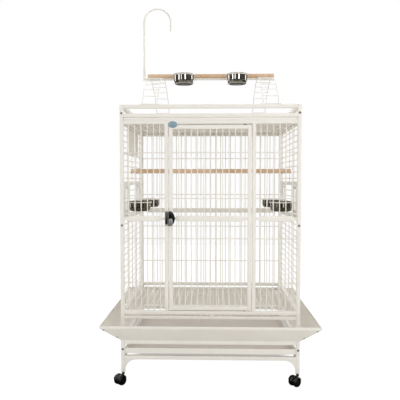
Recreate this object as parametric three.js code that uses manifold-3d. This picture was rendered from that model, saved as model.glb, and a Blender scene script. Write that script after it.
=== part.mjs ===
// Play top bird cage: a welded and bolted wire cage on castors, with a front door, feeder doors, trays,
// seed skirts and a play stand on the roof. Millimetres, +Z up, the front faces -Y, origin on the floor
// under the middle of the cage.

import * as THREE from "three";
import { mergeVertices } from "three/addons/utils/BufferGeometryUtils.js";
import Module from "manifold-3d";

const wasm = await Module();
wasm.setup();

// Driving dimensions
const frameWidth = 914;
const frameDepth = 711;
const tube = 19;
const wireRadius = 2.8;
const wirePitch = 31.75;
const wireEndShare = 0.1;
const weldDepth = 0.8;
const gap = 0.3;
const overrun = 2;
const sheet = 1.5;
const mergeDistance = 1e-4;

// Heights of the underside of each rail above the floor
const legBottom = 61;
const standLowerLevel = 128;
const trayLevel = 160;
const standUpperLevel = 208;
const grateLevel = 338;
const bottomRailLevel = 362;
const midRailLevel = 838;
const feederRailLevel = 1021;
const headerLevel = 1331;
const rimLowerLevel = 1364;
const rimUpperLevel = 1409;

// Colours and finishes
const coated = new THREE.MeshStandardMaterial({ color: 0xe6e1d8, roughness: 0.45, metalness: 0.1 });
const steel = new THREE.MeshStandardMaterial({ color: 0xb9bcc0, roughness: 0.18, metalness: 1 });
const timber = new THREE.MeshStandardMaterial({ color: 0xd6a274, roughness: 0.7, metalness: 0 });
const blackPlastic = new THREE.MeshStandardMaterial({ color: 0x1b1c1e, roughness: 0.5, metalness: 0 });
const greyMetal = new THREE.MeshStandardMaterial({ color: 0x8d8f92, roughness: 0.35, metalness: 0.9 });

// Planes of the frame that other pieces follow
const halfWidth = frameWidth / 2;
const halfDepth = frameDepth / 2;
const innerX = halfWidth - tube;
const innerY = halfDepth - tube;
const railX = halfWidth - tube / 2;
const railY = halfDepth - tube / 2;

const group = new THREE.Group();

function place(name, solidBody, material) {
  const mesh = new THREE.Mesh(geometryOf(solidBody), material);
  mesh.name = name;
  group.add(mesh);
}

// A closed mesh as a solid, turned the right way out if it was revolved or swept inside out
function solid(geometry) {
  const bare = new THREE.BufferGeometry();
  bare.setAttribute("position", geometry.getAttribute("position").clone());
  if (geometry.index) bare.setIndex(geometry.index.clone());
  const merged = mergeVertices(bare, mergeDistance);
  const points = merged.getAttribute("position").array;
  const corners = Uint32Array.from(merged.index.array);
  let volume = 0;
  const a = new THREE.Vector3();
  const b = new THREE.Vector3();
  const c = new THREE.Vector3();
  for (let i = 0; i < corners.length; i += 3) {
    a.fromArray(points, corners[i] * 3);
    b.fromArray(points, corners[i + 1] * 3);
    c.fromArray(points, corners[i + 2] * 3);
    volume += a.dot(b.cross(c));
  }
  if (volume < 0) {
    for (let i = 0; i < corners.length; i += 3) {
      [corners[i], corners[i + 1]] = [corners[i + 1], corners[i]];
    }
  }
  const mesh = new wasm.Mesh({ numProp: 3, vertProperties: Float32Array.from(points), triVerts: corners });
  return new wasm.Manifold(mesh);
}

function geometryOf(solidBody) {
  const mesh = solidBody.getMesh();
  const geometry = new THREE.BufferGeometry();
  geometry.setAttribute("position", new THREE.BufferAttribute(mesh.vertProperties, 3));
  geometry.setIndex(new THREE.BufferAttribute(mesh.triVerts, 1));
  geometry.computeVertexNormals();
  return geometry;
}

function joined(solids) {
  return solids.reduce((whole, next) => whole.add(next));
}

// A box given by its limits along X, Y and Z
function block([x0, x1], [y0, y1], [z0, z1]) {
  const geometry = new THREE.BoxGeometry(x1 - x0, y1 - y0, z1 - z0);
  geometry.translate((x0 + x1) / 2, (y0 + y1) / 2, (z0 + z1) / 2);
  return solid(geometry);
}

// An outline in its own plane, pushed out along +Z
function pushed(outline, depth) {
  const shape = outline instanceof THREE.Shape ? outline : new THREE.Shape(outline);
  return new THREE.ExtrudeGeometry(shape, { depth, bevelEnabled: false, curveSegments: 4 });
}

const point = (x, y) => new THREE.Vector2(x, y);

function diamond(radius) {
  return [point(radius, 0), point(0, radius), point(-radius, 0), point(0, -radius)];
}

// Straight wire of diamond section between two points that differ along one axis
function wire(start, end, radius = wireRadius) {
  const from = new THREE.Vector3(...start);
  const run = new THREE.Vector3(...end).sub(from);
  const geometry = pushed(diamond(radius), run.length());
  if (Math.abs(run.x) > 0) geometry.rotateY(Math.PI / 2 * Math.sign(run.x));
  if (Math.abs(run.y) > 0) geometry.rotateX(-Math.PI / 2 * Math.sign(run.y));
  geometry.translate(from.x, from.y, from.z);
  return solid(geometry);
}

// Evenly spread places of the wires that fit between two limits at the wire pitch
function spread(low, high, pitch = wirePitch) {
  const count = Math.floor((high - low) / pitch - wireEndShare);
  const first = (low + high - (count - 1) * pitch) / 2;
  return Array.from({ length: count }, (_, i) => first + i * pitch);
}

// Revolved profile of [radius, height] pairs about a vertical axis
function revolved(profile, segments, closed = false) {
  const points = profile.map(([radius, height]) => point(radius, height));
  if (closed) points.push(points[0].clone());
  const geometry = new THREE.LatheGeometry(points, segments);
  geometry.rotateX(Math.PI / 2);
  return solid(geometry);
}

// A rod about a vertical axis
function rod(radius, low, high, segments) {
  return revolved([[0, low], [radius, low], [radius, high], [0, high]], segments);
}

// Wires welded where they cross stand this far apart, axis to axis
const weldStep = 2 * wireRadius - weldDepth;

// Side frames: two posts joined by tube rails, with runners for the grate and the tray
const runnerReach = 5;
const runnerSheet = 2.4;
const castorStemRadius = 5;
const stemBoreDepth = 26;
const stemSides = 8;
const stemPlay = 0.6;
const postTop = rimUpperLevel + tube;

function sideFrame(side) {
  const outer = [side * innerX, side * halfWidth].sort((a, b) => a - b);
  const inner = [side * (innerX + weldDepth), side * (innerX - runnerReach)].sort((a, b) => a - b);
  const parts = [];
  for (const end of [-1, 1]) {
    const across = [end * innerY, end * halfDepth].sort((a, b) => a - b);
    const bore = rod(castorStemRadius + stemPlay, legBottom - overrun, legBottom + stemBoreDepth, stemSides)
      .translate([side * railX, end * railY, 0]);
    parts.push(block(outer, across, [legBottom, postTop]).subtract(bore));
  }
  const lower = [standLowerLevel, standUpperLevel, bottomRailLevel];
  for (const level of [...lower, headerLevel, rimLowerLevel, rimUpperLevel]) {
    parts.push(block(outer, [-railY, railY], [level, level + tube]));
  }
  for (const level of [trayLevel, grateLevel]) {
    parts.push(block(inner, [-railY, railY], [level - gap - runnerSheet, level - gap]));
  }
  return joined(parts);
}
place("side_frame_left", sideFrame(-1), coated);
place("side_frame_right", sideFrame(1), coated);

// Flattened mid rail, its ends necked down where it was pressed to weld between two uprights
const midRailHeight = 29;
const midRailDepth = 12;
const neckHeight = 14;
const neckLength = 14;
const neckSlope = 14;

function midRail(length) {
  const half = length / 2;
  const outline = [];
  for (const [sign, flip] of [[-1, 1], [1, -1]]) {
    const low = -flip * midRailHeight / 2;
    const neck = -flip * neckHeight / 2;
    outline.push(point(sign * half, neck));
    outline.push(point(sign * (half - neckLength), neck));
    outline.push(point(sign * (half - neckLength - neckSlope), low));
    outline.push(point(-sign * (half - neckLength - neckSlope), low));
    outline.push(point(-sign * (half - neckLength), neck));
    outline.push(point(-sign * half, neck));
  }
  const geometry = pushed(outline, midRailDepth);
  geometry.translate(0, 0, -midRailDepth / 2);
  geometry.rotateX(Math.PI / 2);
  return solid(geometry).translate([0, 0, midRailLevel + midRailHeight / 2]);
}

// Side meshes: level wires at the wire pitch, welded to a few uprights inside them
const uprightPlaceShares = [-0.3, -0.1, 0.1, 0.3];
const nestWidth = 326;
const nestBottom = 1192;

function sideUprightPlaces() {
  return uprightPlaceShares.map((share) => share * frameDepth);
}

function sideMeshLower(side) {
  const low = bottomRailLevel + tube + gap;
  const x = side * railX;
  const parts = [midRail(2 * (innerY - gap)).rotate([0, 0, 90]).translate([x, 0, 0])];
  for (const y of sideUprightPlaces()) {
    const inward = x - side * weldStep;
    parts.push(wire([inward, y, low], [inward, y, midRailLevel + midRailHeight / 2]));
  }
  for (const z of spread(low, midRailLevel)) {
    parts.push(wire([x, -innerY + gap, z], [x, innerY - gap, z]));
  }
  return joined(parts);
}
place("side_mesh_lower_left", sideMeshLower(-1), coated);
place("side_mesh_lower_right", sideMeshLower(1), coated);

function sideMeshUpper(side, withNest) {
  const low = feederRailLevel + tube;
  const high = headerLevel - gap;
  const x = side * railX;
  const reach = innerY - gap;
  const outer = [side * innerX, side * halfWidth].sort((a, b) => a - b);
  const parts = [block(outer, [-reach, reach], [feederRailLevel, low])];
  for (const y of sideUprightPlaces()) {
    const top = withNest && Math.abs(y) < nestWidth / 2 ? nestBottom : high;
    parts.push(wire([x - side * weldStep, y, low - weldDepth], [x - side * weldStep, y, top]));
  }
  for (const z of spread(low, high)) {
    if (withNest && z > nestBottom) {
      parts.push(wire([x, -reach, z], [x, -nestWidth / 2, z]), wire([x, nestWidth / 2, z], [x, reach, z]));
    } else {
      parts.push(wire([x, -reach, z], [x, reach, z]));
    }
  }
  if (withNest) {
    parts.push(wire([x, -reach, nestBottom], [x, reach, nestBottom]));
    for (const y of [-nestWidth / 2, nestWidth / 2]) {
      parts.push(wire([x, y, nestBottom], [x, y, high]));
    }
  }
  return joined(parts);
}
place("side_mesh_upper_left", sideMeshUpper(-1, true), coated);
place("side_mesh_upper_right", sideMeshUpper(1, false), coated);

// Stainless cups: a pressed bowl with a turned out rim
const cupRimRadius = 62;
const cupBodyRadius = 57;
const cupBaseRadius = 44;
const cupHeight = 54;
const cupWall = 1.2;
const cupRimDepth = 3;
const cupSegments = 14;
const cupCornerShare = 0.3;

function cup() {
  const corner = cupHeight * cupCornerShare;
  const lip = cupHeight - cupRimDepth;
  const inside = cupBodyRadius - cupWall;
  const base = cupBaseRadius;
  return revolved([
    [0, 0], [base, 0], [cupBodyRadius - cupWall, corner], [cupBodyRadius, lip], [cupRimRadius, lip],
    [cupRimRadius, cupHeight], [inside, cupHeight], [inside - cupWall, corner],
    [base - cupWall, cupWall], [0, cupWall],
  ], cupSegments);
}

// The ring that a cup hangs in, by its rim
const ringSides = 14;
const ringPlay = 0.6;
const ringRadius = cupBodyRadius + ringPlay + wireRadius;
const ringDrop = cupRimDepth + gap + wireRadius;

function cupRing() {
  const profile = diamond(wireRadius).map(({ x, y }) => [ringRadius + x, y]);
  return revolved(profile.reverse(), ringSides, true);
}

// Feeder panels: framed openings for the feeder doors, with a cross wire that carries each cup ring
const feederWidth = 150;
const feederFrontShare = -0.3193;
const feederBackShare = 0.2672;
const feederCupRim = 937;
const feederCupPlay = 1;
const feederCupPlaceX = innerX - cupRimRadius - feederCupPlay;
const feederPlaces = [["front", feederFrontShare * frameDepth], ["back", feederBackShare * frameDepth]];
const ringArmSpread = 26;
const feederLow = midRailLevel + midRailHeight + gap;
const feederHigh = feederRailLevel - gap;
const feederWirePlaces = spread(feederLow, feederHigh);
const hingePinRadius = 2;
const hingeSides = 6;
const hingePlay = 0.8;
const knuckleWall = 1.8;
const knuckleLength = 14;
const feederHingeX = railX + wireRadius + hingePinRadius - weldDepth;
const feederHingeOffset = feederWidth / 2 + hingePinRadius + hingePlay + knuckleWall + gap;

function feederPanel(side) {
  const x = side * railX;
  const ringLevel = feederCupRim - ringDrop;
  const upright = feederWidth / 2 - 2 * wireRadius;
  const parts = [];
  const ends = [-innerY + gap];
  for (const [, y] of feederPlaces) {
    for (const end of [-1, 1]) {
      const place = [x - side * weldStep, y + end * upright];
      parts.push(wire([...place, feederLow], [...place, feederHigh]));
    }
    ends.push(y - upright + wireRadius, y + upright - wireRadius);
    const pin = rod(hingePinRadius, feederLow, feederHigh, 4);
    parts.push(pin.translate([side * feederHingeX, y + feederHingeOffset, 0]));
    const crossHalf = upright + wireRadius;
    parts.push(wire([x, y - crossHalf, ringLevel], [x, y + crossHalf, ringLevel]));
    for (const end of [-1, 1]) {
      const armY = y + end * ringArmSpread;
      const reach = Math.sqrt(ringRadius ** 2 - ringArmSpread ** 2);
      parts.push(wire([side * (feederCupPlaceX + reach), armY, ringLevel], [x, armY, ringLevel]));
    }
    parts.push(cupRing().translate([side * feederCupPlaceX, y, ringLevel]));
  }
  ends.push(innerY - gap);
  for (const z of feederWirePlaces) {
    for (let i = 0; i < ends.length; i += 2) {
      parts.push(wire([x, ends[i], z], [x, ends[i + 1], z]));
    }
  }
  return joined(parts);
}
place("feeder_panel_left", feederPanel(-1), coated);
place("feeder_panel_right", feederPanel(1), coated);

for (const [sideName, side] of [["left", -1], ["right", 1]]) {
  for (const [endName, y] of feederPlaces) {
    const at = [side * feederCupPlaceX, y, feederCupRim - cupHeight];
    place(`feeder_cup_${sideName}_${endName}`, cup().translate(at), steel);
  }
}

// Rolled knuckle of a door, round a vertical hinge wire
function knuckle(pinRadius, middle) {
  const inside = pinRadius + hingePlay;
  const outside = inside + knuckleWall;
  const [low, high] = [middle - knuckleLength / 2, middle + knuckleLength / 2];
  return revolved([[inside, low], [outside, low], [outside, high], [inside, high]], hingeSides, true);
}

// Feeder doors: flat strip frames with upright bars, outside the openings, on knuckles at the back edge
const feederDoorStrip = 18;
const feederDoorBar = 5;
const feederDoorSheet = 1.8;
const feederDoorPlay = 3;

function feederDoor(side, y) {
  const low = feederLow + feederDoorPlay;
  const high = feederHigh - feederDoorPlay;
  const x = side * feederHingeX;
  const half = feederWidth / 2;
  const thick = [x - feederDoorSheet / 2, x + feederDoorSheet / 2];
  const cut = [thick[0] - overrun, thick[1] + overrun];
  const across = [y - half + feederDoorStrip, y + half - feederDoorStrip];
  const upright = [low + feederDoorStrip, high - feederDoorStrip];
  const bars = spread(...across);
  const starts = [across[0], ...bars.map((place) => place + feederDoorBar / 2)];
  const stops = [...bars.map((place) => place - feederDoorBar / 2), across[1]];
  const parts = [starts.reduce(
    (plate, start, i) => plate.subtract(block(cut, [start, stops[i]], upright)),
    block(thick, [y - half, y + half], [low, high]),
  )];
  const hingeY = y + feederHingeOffset;
  const lastWire = feederWirePlaces.length - 1;
  for (const [below, above] of [[0, 1], [lastWire - 1, lastWire]]) {
    const middle = (feederWirePlaces[below] + feederWirePlaces[above]) / 2;
    const tab = [y + half - overrun, hingeY - hingePinRadius - hingePlay - knuckleWall / 2];
    parts.push(knuckle(hingePinRadius, middle).translate([x, hingeY, 0]));
    parts.push(block(thick, tab, [middle - knuckleLength / 2, middle + knuckleLength / 2]));
  }
  return joined(parts);
}

for (const [sideName, side] of [["left", -1], ["right", 1]]) {
  for (const [endName, y] of feederPlaces) {
    place(`feeder_door_${sideName}_${endName}`, feederDoor(side, y), coated);
  }
}

// Nest box door: a plain pressed plate with a folded rim, hinged on the back frame wire of its opening
const nestDoorPlay = 2;
const nestRim = 6;
const nestPlateOffset = 5;

function nestDoor() {
  const front = -nestWidth / 2 + wireRadius + nestDoorPlay;
  const low = nestBottom + wireRadius + nestDoorPlay;
  const high = headerLevel - nestDoorPlay;
  const outside = -railX - nestPlateOffset;
  const back = nestWidth / 2 - wireRadius - hingePlay - knuckleWall - gap;
  const shell = block([outside, outside + nestRim], [front, back], [low, high]).subtract(block(
    [outside + sheet, outside + nestRim + overrun],
    [front + sheet, back - sheet],
    [low + sheet, high - sheet],
  ));
  const beside = spread(feederRailLevel + tube, headerLevel - gap).filter((z) => z > nestBottom);
  const parts = [shell];
  for (const [below, above] of [[0, 1], [beside.length - 2, beside.length - 1]]) {
    const middle = (beside[below] + beside[above]) / 2;
    const tabX = [-railX - wireRadius - hingePlay - knuckleWall, -railX - wireRadius - hingePlay - gap];
    parts.push(knuckle(wireRadius, middle).translate([-railX, nestWidth / 2, 0]));
    const tabZ = [middle - knuckleLength / 2, middle + knuckleLength / 2];
    parts.push(block(tabX, [back - sheet, nestWidth / 2], tabZ));
  }
  return joined(parts);
}
place("nest_door", nestDoor(), coated);

// Front frame: header, bottom rail and the two door posts, with the blind holes for the door's pivot pins
const doorOpening = 424;
const doorSideGap = 3.5;
const doorTopGap = 6.5;
const doorBottomGap = 3.5;
const pivotInset = 33;
const pivotRadius = 4;
const pivotSides = 8;
const pivotPlay = 0.5;
const pivotReach = 10;
const pivotX = doorOpening / 2 - doorSideGap - pivotInset;
const bottomRailTop = bottomRailLevel + tube;
const frontFaces = [-halfDepth, -innerY];

function crossRail(level, faces = frontFaces) {
  return block([-innerX + gap, innerX - gap], faces, [level, level + tube]);
}

function frontFrame() {
  const parts = [crossRail(headerLevel), crossRail(bottomRailLevel)];
  for (const side of [-1, 1]) {
    const across = [side * doorOpening / 2, side * (doorOpening / 2 + tube)].sort((a, b) => a - b);
    parts.push(block(across, frontFaces, [bottomRailTop - overrun, headerLevel + overrun]));
  }
  const holeRadius = pivotRadius + pivotPlay;
  const upper = rod(holeRadius, headerLevel - overrun, headerLevel + pivotReach + gap, pivotSides);
  const lower = rod(holeRadius, bottomRailTop - pivotReach - gap, bottomRailTop + overrun, pivotSides);
  return joined(parts)
    .subtract(upper.translate([pivotX, -railY, 0]))
    .subtract(lower.translate([pivotX, -railY, 0]));
}
place("front_frame", frontFrame(), coated);

// Front meshes and the back panel: upright wires through the mid rail, with four level wires behind them
const levelWireFromEnd = 144;
const levelWireFromMid = 88;
const levelWirePlaces = [
  headerLevel - levelWireFromEnd,
  midRailLevel + midRailHeight + levelWireFromMid,
  midRailLevel - levelWireFromMid,
  bottomRailTop + levelWireFromEnd,
];

// The mesh between two uprights of a panel at y, with its level wires on the inner side
function panelMesh(x0, x1, y, low, high) {
  const inward = -Math.sign(y) * weldStep;
  const parts = [midRail(x1 - x0).translate([(x0 + x1) / 2, y, 0])];
  for (const x of spread(x0, x1)) {
    parts.push(wire([x, y, low], [x, y, high]));
  }
  for (const z of levelWirePlaces) {
    parts.push(wire([x0, y + inward, z], [x1, y + inward, z]));
  }
  return parts;
}

const besideDoor = [doorOpening / 2 + tube + gap, innerX - gap];
for (const [name, limits] of [["left", [-besideDoor[1], -besideDoor[0]]], ["right", besideDoor]]) {
  const mesh = panelMesh(...limits, -railY, bottomRailTop + gap, headerLevel - gap);
  place(`front_mesh_${name}`, joined(mesh), coated);
}

const backFaces = [innerY, halfDepth];
const backParts = [crossRail(headerLevel, backFaces), crossRail(bottomRailLevel, backFaces)];
const backEnds = [bottomRailTop - weldDepth, headerLevel + weldDepth];
backParts.push(...panelMesh(-innerX + gap, innerX - gap, railY, ...backEnds));
place("back_panel", joined(backParts), coated);

// Front door: a tube frame with its own mesh, hung on pivot pins set in from the right edge
const doorHalf = doorOpening / 2 - doorSideGap;
const doorLow = bottomRailTop + doorBottomGap;
const doorHigh = headerLevel - doorTopGap;

function frontDoor() {
  const inside = doorHalf - tube;
  const parts = [];
  for (const across of [[-doorHalf, -inside], [inside, doorHalf]]) {
    parts.push(block(across, frontFaces, [doorLow, doorHigh]));
  }
  for (const level of [doorLow, doorHigh - tube]) {
    parts.push(block([-inside - overrun, inside + overrun], frontFaces, [level, level + tube]));
  }
  const reach = inside + weldDepth;
  const ends = [doorLow + tube - weldDepth, doorHigh - tube + weldDepth];
  parts.push(...panelMesh(-reach, reach, -railY, ...ends));
  const pinUp = rod(pivotRadius, doorHigh - overrun, headerLevel + pivotReach, pivotSides);
  const pinDown = rod(pivotRadius, bottomRailTop - pivotReach, doorLow + overrun, pivotSides);
  parts.push(pinUp.translate([pivotX, -railY, 0]), pinDown.translate([pivotX, -railY, 0]));
  return joined(parts);
}
place("front_door", frontDoor(), coated);

// Door lock: a moulded case and a turning lever on the door, a strike on the door post
const lockHeight = 75;
const lockWidth = 33;
const lockDepth = 20;
const lockLow = 816;
const lockOverhang = 2.5;
const strikeHeight = 72;
const strikeWidth = 13;
const strikeDepth = 12;
const strikeInset = 2;
const leverRadius = 6;
const leverLength = 30;
const leverWidth = 9;
const leverSheet = 5;
const leverRise = 31;
const lockFace = -halfDepth - gap;
const lockLeft = -doorHalf - lockOverhang;
const leverX = lockLeft + lockWidth / 2;
const leverZ = lockLow + leverRise;

function lockCase() {
  const round = Math.min(lockWidth, lockHeight / 2);
  const outline = new THREE.Shape();
  outline.moveTo(0, 0);
  outline.lineTo(lockWidth - round / 2, 0);
  outline.quadraticCurveTo(lockWidth, 0, lockWidth, round);
  outline.lineTo(lockWidth, lockHeight - round);
  outline.quadraticCurveTo(lockWidth, lockHeight, lockWidth - round / 2, lockHeight);
  outline.lineTo(0, lockHeight);
  const geometry = pushed(outline, lockDepth);
  geometry.rotateX(Math.PI / 2);
  return solid(geometry).translate([lockLeft, lockFace, lockLow]);
}
place("lock_case", lockCase(), blackPlastic);

function lockLever() {
  const outline = new THREE.Shape();
  outline.moveTo(-leverWidth / 2, -leverLength);
  outline.lineTo(leverWidth / 2, -leverLength);
  outline.lineTo(leverRadius, 0);
  outline.absarc(0, 0, leverRadius, 0, Math.PI, false);
  const geometry = pushed(outline, leverSheet);
  geometry.rotateX(Math.PI / 2);
  return solid(geometry).translate([leverX, lockFace - lockDepth - gap, leverZ]);
}
place("lock_lever", lockLever(), greyMetal);

const strikeRight = -doorOpening / 2 - strikeInset;
const strikeLow = lockLow + (lockHeight - strikeHeight) / 2;
place("lock_strike", block(
  [strikeRight - strikeWidth, strikeRight],
  [lockFace - strikeDepth, lockFace],
  [strikeLow, strikeLow + strikeHeight],
), blackPlastic);

// Roof mesh: wires from front to back on two cross wires, level with the header rails
const roofCrossShare = 0.22;
const roofLevel = headerLevel + tube / 2;
const roofParts = [];
for (const x of spread(-innerX, innerX)) {
  roofParts.push(wire([x, -innerY + gap, roofLevel], [x, innerY - gap, roofLevel]));
}
for (const side of [-1, 1]) {
  const y = side * roofCrossShare * frameDepth;
  roofParts.push(wire([-innerX + gap, y, roofLevel - weldStep], [innerX - gap, y, roofLevel - weldStep]));
}
place("roof_mesh", joined(roofParts), coated);

// Rim rails of the play top and rails of the stand, the lower stand rails with a gusset at each leg
const gussetReach = 66;
const gussetDrop = 57;
const gussetSheet = 4;
const gussetBendShare = 0.18;

function gusset(side, end) {
  const corner = side * (innerX - gap);
  const top = standLowerLevel;
  const outline = new THREE.Shape();
  outline.moveTo(corner, top + overrun);
  outline.lineTo(corner, top - gussetDrop);
  const tip = corner - side * gussetReach;
  outline.quadraticCurveTo(corner - side * gussetReach * gussetBendShare, top, tip, top);
  outline.lineTo(tip, top + overrun);
  const geometry = pushed(outline, gussetSheet);
  geometry.rotateX(Math.PI / 2);
  return solid(geometry).translate([0, end > 0 ? halfDepth : gussetSheet - halfDepth, 0]);
}

for (const [name, faces, end] of [["front", frontFaces, -1], ["back", backFaces, 1]]) {
  place(`rim_rail_${name}_lower`, crossRail(rimLowerLevel, faces), coated);
  place(`rim_rail_${name}_upper`, crossRail(rimUpperLevel, faces), coated);
  place(`stand_rail_${name}_upper`, crossRail(standUpperLevel, faces), coated);
  const lower = [crossRail(standLowerLevel, faces), gusset(-1, end), gusset(1, end)];
  place(`stand_rail_${name}_lower`, joined(lower), coated);
}

// Trays and grate, each between the posts with a little play
const slidePlay = 0.8;
const slideHalf = innerX - slidePlay;
const trayHeight = 28;
const trayBackPlay = 2;
const trayBack = innerY - trayBackPlay;
const topTrayInset = 6;
const topTrayBack = halfDepth - topTrayInset;
const grateHeight = 16;
const grateBar = 12;
const grateTabWidth = 6;
const grateTabHeight = 28;
const grateTabPlace = 10;

function pan(front, back, low, high) {
  return block([-slideHalf, slideHalf], [front, back], [low, high]).subtract(block(
    [-slideHalf + sheet, slideHalf - sheet],
    [front + sheet, back - sheet],
    [low + sheet, high + overrun],
  ));
}
place("bottom_tray", pan(-halfDepth, trayBack, trayLevel, trayLevel + trayHeight), coated);
const topTrayLow = headerLevel + tube + gap;
place("top_tray", pan(-halfDepth, topTrayBack, topTrayLow, rimLowerLevel - gap), coated);

function grate() {
  const [low, high] = [grateLevel, grateLevel + grateHeight];
  const inside = [-halfDepth + grateBar, trayBack - grateBar];
  const parts = [block([-slideHalf, slideHalf], [-halfDepth, trayBack], [low, high]).subtract(
    block([-slideHalf + grateBar, slideHalf - grateBar], inside, [low - overrun, high + overrun]),
  )];
  const level = (low + high) / 2;
  for (const x of spread(-slideHalf + grateBar, slideHalf - grateBar)) {
    parts.push(wire([x, inside[0] - weldDepth, level], [x, inside[1] + weldDepth, level]));
  }
  for (const side of [-1, 1]) {
    const y = side * roofCrossShare * frameDepth;
    const reach = slideHalf - grateBar + weldDepth;
    parts.push(wire([-reach, y, level - weldStep], [reach, y, level - weldStep]));
  }
  return joined(parts);
}
place("grate", grate(), coated);
place("grate_tab", block(
  [grateTabPlace - grateTabWidth / 2, grateTabPlace + grateTabWidth / 2],
  [-halfDepth - gap - sheet, -halfDepth - gap],
  [grateLevel + sheet, grateLevel + sheet + grateTabHeight],
), coated);

// Seed skirts: sheets that slope out from the stand and end in an upright lip, mitred at the corners
const skirtReach = 90;
const skirtFootPlay = 1;
const skirtFoot = standUpperLevel + tube + skirtFootPlay;
const skirtRise = 86;
const skirtLip = 13;

function skirt(halfLength, distance) {
  const slopeSheet = sheet * Math.hypot(skirtReach, skirtRise) / skirtReach;
  const lipLow = skirtFoot + skirtRise;
  const lipHigh = lipLow + skirtLip;
  const profile = [
    point(gap, skirtFoot), point(skirtReach, lipLow), point(skirtReach, lipHigh),
    point(skirtReach - sheet, lipHigh), point(skirtReach - sheet, lipLow + slopeSheet / 2),
    point(gap, skirtFoot + slopeSheet),
  ];
  const places = [];
  for (const end of [-1, 1]) {
    for (const { x: outward, y: height } of profile) {
      places.push(end * (halfLength + outward - gap), -(distance + outward), height);
    }
  }
  const count = profile.length;
  const faces = [];
  for (let i = 0; i < count; i += 1) {
    const next = (i + 1) % count;
    faces.push(i, next, count + next, i, count + next, count + i);
  }
  for (const [a, b, c] of THREE.ShapeUtils.triangulateShape(profile, [])) {
    faces.push(c, b, a, count + a, count + b, count + c);
  }
  const geometry = new THREE.BufferGeometry();
  geometry.setAttribute("position", new THREE.Float32BufferAttribute(places, 3));
  geometry.setIndex(faces);
  return solid(geometry);
}
place("skirt_front", skirt(halfWidth, halfDepth), coated);
place("skirt_right", skirt(halfDepth, halfWidth).rotate([0, 0, 90]), coated);
place("skirt_back", skirt(halfWidth, halfDepth).rotate([0, 0, 180]), coated);
place("skirt_left", skirt(halfDepth, halfWidth).rotate([0, 0, -90]), coated);

// Wooden perches: a turned dowel along X with eased ends
const dowelSides = 12;
const dowelEase = 2;
const innerPerchRadius = 12;
const innerPerchPlaceY = -100;
const innerPerchLevel = 1098;

function dowel(radius, half) {
  const eased = radius - dowelEase;
  const straight = half - dowelEase;
  const profile = [
    [0, -half], [eased, -half], [radius, -straight], [radius, straight], [eased, half], [0, half],
  ];
  return revolved(profile, dowelSides).rotate([0, 90, 0]);
}
const innerPerchHalf = railX - wireRadius - gap;
const innerPerch = dowel(innerPerchRadius, innerPerchHalf);
place("inner_perch", innerPerch.translate([0, innerPerchPlaceY, innerPerchLevel]), timber);

// Play stand: a bar on four ladders, with two cup rings and the sleeve of the toy hook
const barRadius = 6.5;
const barLevel = 1625.5;
const barShare = 0.395;
const barHalf = barShare * frameWidth;
const barSides = 10;
const playPerchRadius = 11.25;
const playPerchInset = 1;
const playPerchHalf = barHalf - playPerchInset;
const playCupPlaceShare = 0.41;
const playCupPlaceX = playCupPlaceShare * barHalf;
const playCupPlaceY = -80;
const playArmSpread = 14;
const hookRadius = 4;
const hookSides = 8;
const sleeveWall = 2;
const sleeveLow = 1619;
const sleeveHigh = 1693;
const sleeveFloor = 3;
const sleeveOffset = 19;
const hookX = -barHalf - sleeveOffset;
const playCupRim = barLevel + ringDrop + wireRadius;

function playStand() {
  const parts = [rod(barRadius, hookX, barHalf, barSides).rotate([0, 90, 0]).translate([0, 0, barLevel])];
  const ringLevel = playCupRim - ringDrop;
  for (const side of [-1, 1]) {
    parts.push(cupRing().translate([side * playCupPlaceX, playCupPlaceY, ringLevel]));
    for (const end of [-1, 1]) {
      const x = side * playCupPlaceX + end * playArmSpread;
      const reach = Math.sqrt(ringRadius ** 2 - playArmSpread ** 2);
      parts.push(wire([x, playCupPlaceY + reach, ringLevel], [x, 0, ringLevel]));
    }
  }
  const bore = hookRadius + pivotPlay;
  parts.push(rod(bore + sleeveWall, sleeveLow, sleeveHigh, barSides).translate([hookX, 0, 0]));
  const hollow = rod(bore, sleeveLow + sleeveFloor, sleeveHigh + overrun, hookSides);
  return joined(parts).subtract(hollow.translate([hookX, 0, 0]));
}
place("play_stand", playStand(), coated);
const playPerchLevel = barLevel + barRadius + gap + playPerchRadius;
place("play_perch", dowel(playPerchRadius, playPerchHalf).translate([0, 0, playPerchLevel]), timber);
for (const [name, side] of [["left", -1], ["right", 1]]) {
  const at = [side * playCupPlaceX, playCupPlaceY, playCupRim - cupHeight];
  place(`play_cup_${name}`, cup().translate(at), steel);
}

// Round bar bent through a list of places that lie in or near one plane, whose normal is given
function bent(places, radius, sides, normal) {
  const points = [];
  const faces = [];
  const along = new THREE.Vector3();
  const out = new THREE.Vector3();
  const up = new THREE.Vector3();
  const rim = new THREE.Vector3();
  places.forEach((middle, i) => {
    along.subVectors(places[Math.min(i + 1, places.length - 1)], places[Math.max(i - 1, 0)]).normalize();
    up.copy(normal).addScaledVector(along, -normal.dot(along)).normalize();
    out.crossVectors(along, up);
    for (let k = 0; k < sides; k += 1) {
      const angle = (2 * Math.PI * (k + 1 / 2)) / sides;
      rim.copy(middle).addScaledVector(out, radius * Math.cos(angle));
      rim.addScaledVector(up, radius * Math.sin(angle));
      points.push(...rim);
    }
  });
  for (let i = 0; i + 1 < places.length; i += 1) {
    for (let k = 0; k < sides; k += 1) {
      const [a, b] = [i * sides + k, i * sides + (k + 1) % sides];
      faces.push(a, b, b + sides, a, b + sides, a + sides);
    }
  }
  const last = (places.length - 1) * sides;
  for (let k = 1; k + 1 < sides; k += 1) {
    faces.push(0, k + 1, k, last, last + k, last + k + 1);
  }
  const geometry = new THREE.BufferGeometry();
  geometry.setAttribute("position", new THREE.Float32BufferAttribute(points, 3));
  geometry.setIndex(faces);
  return solid(geometry);
}

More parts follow.
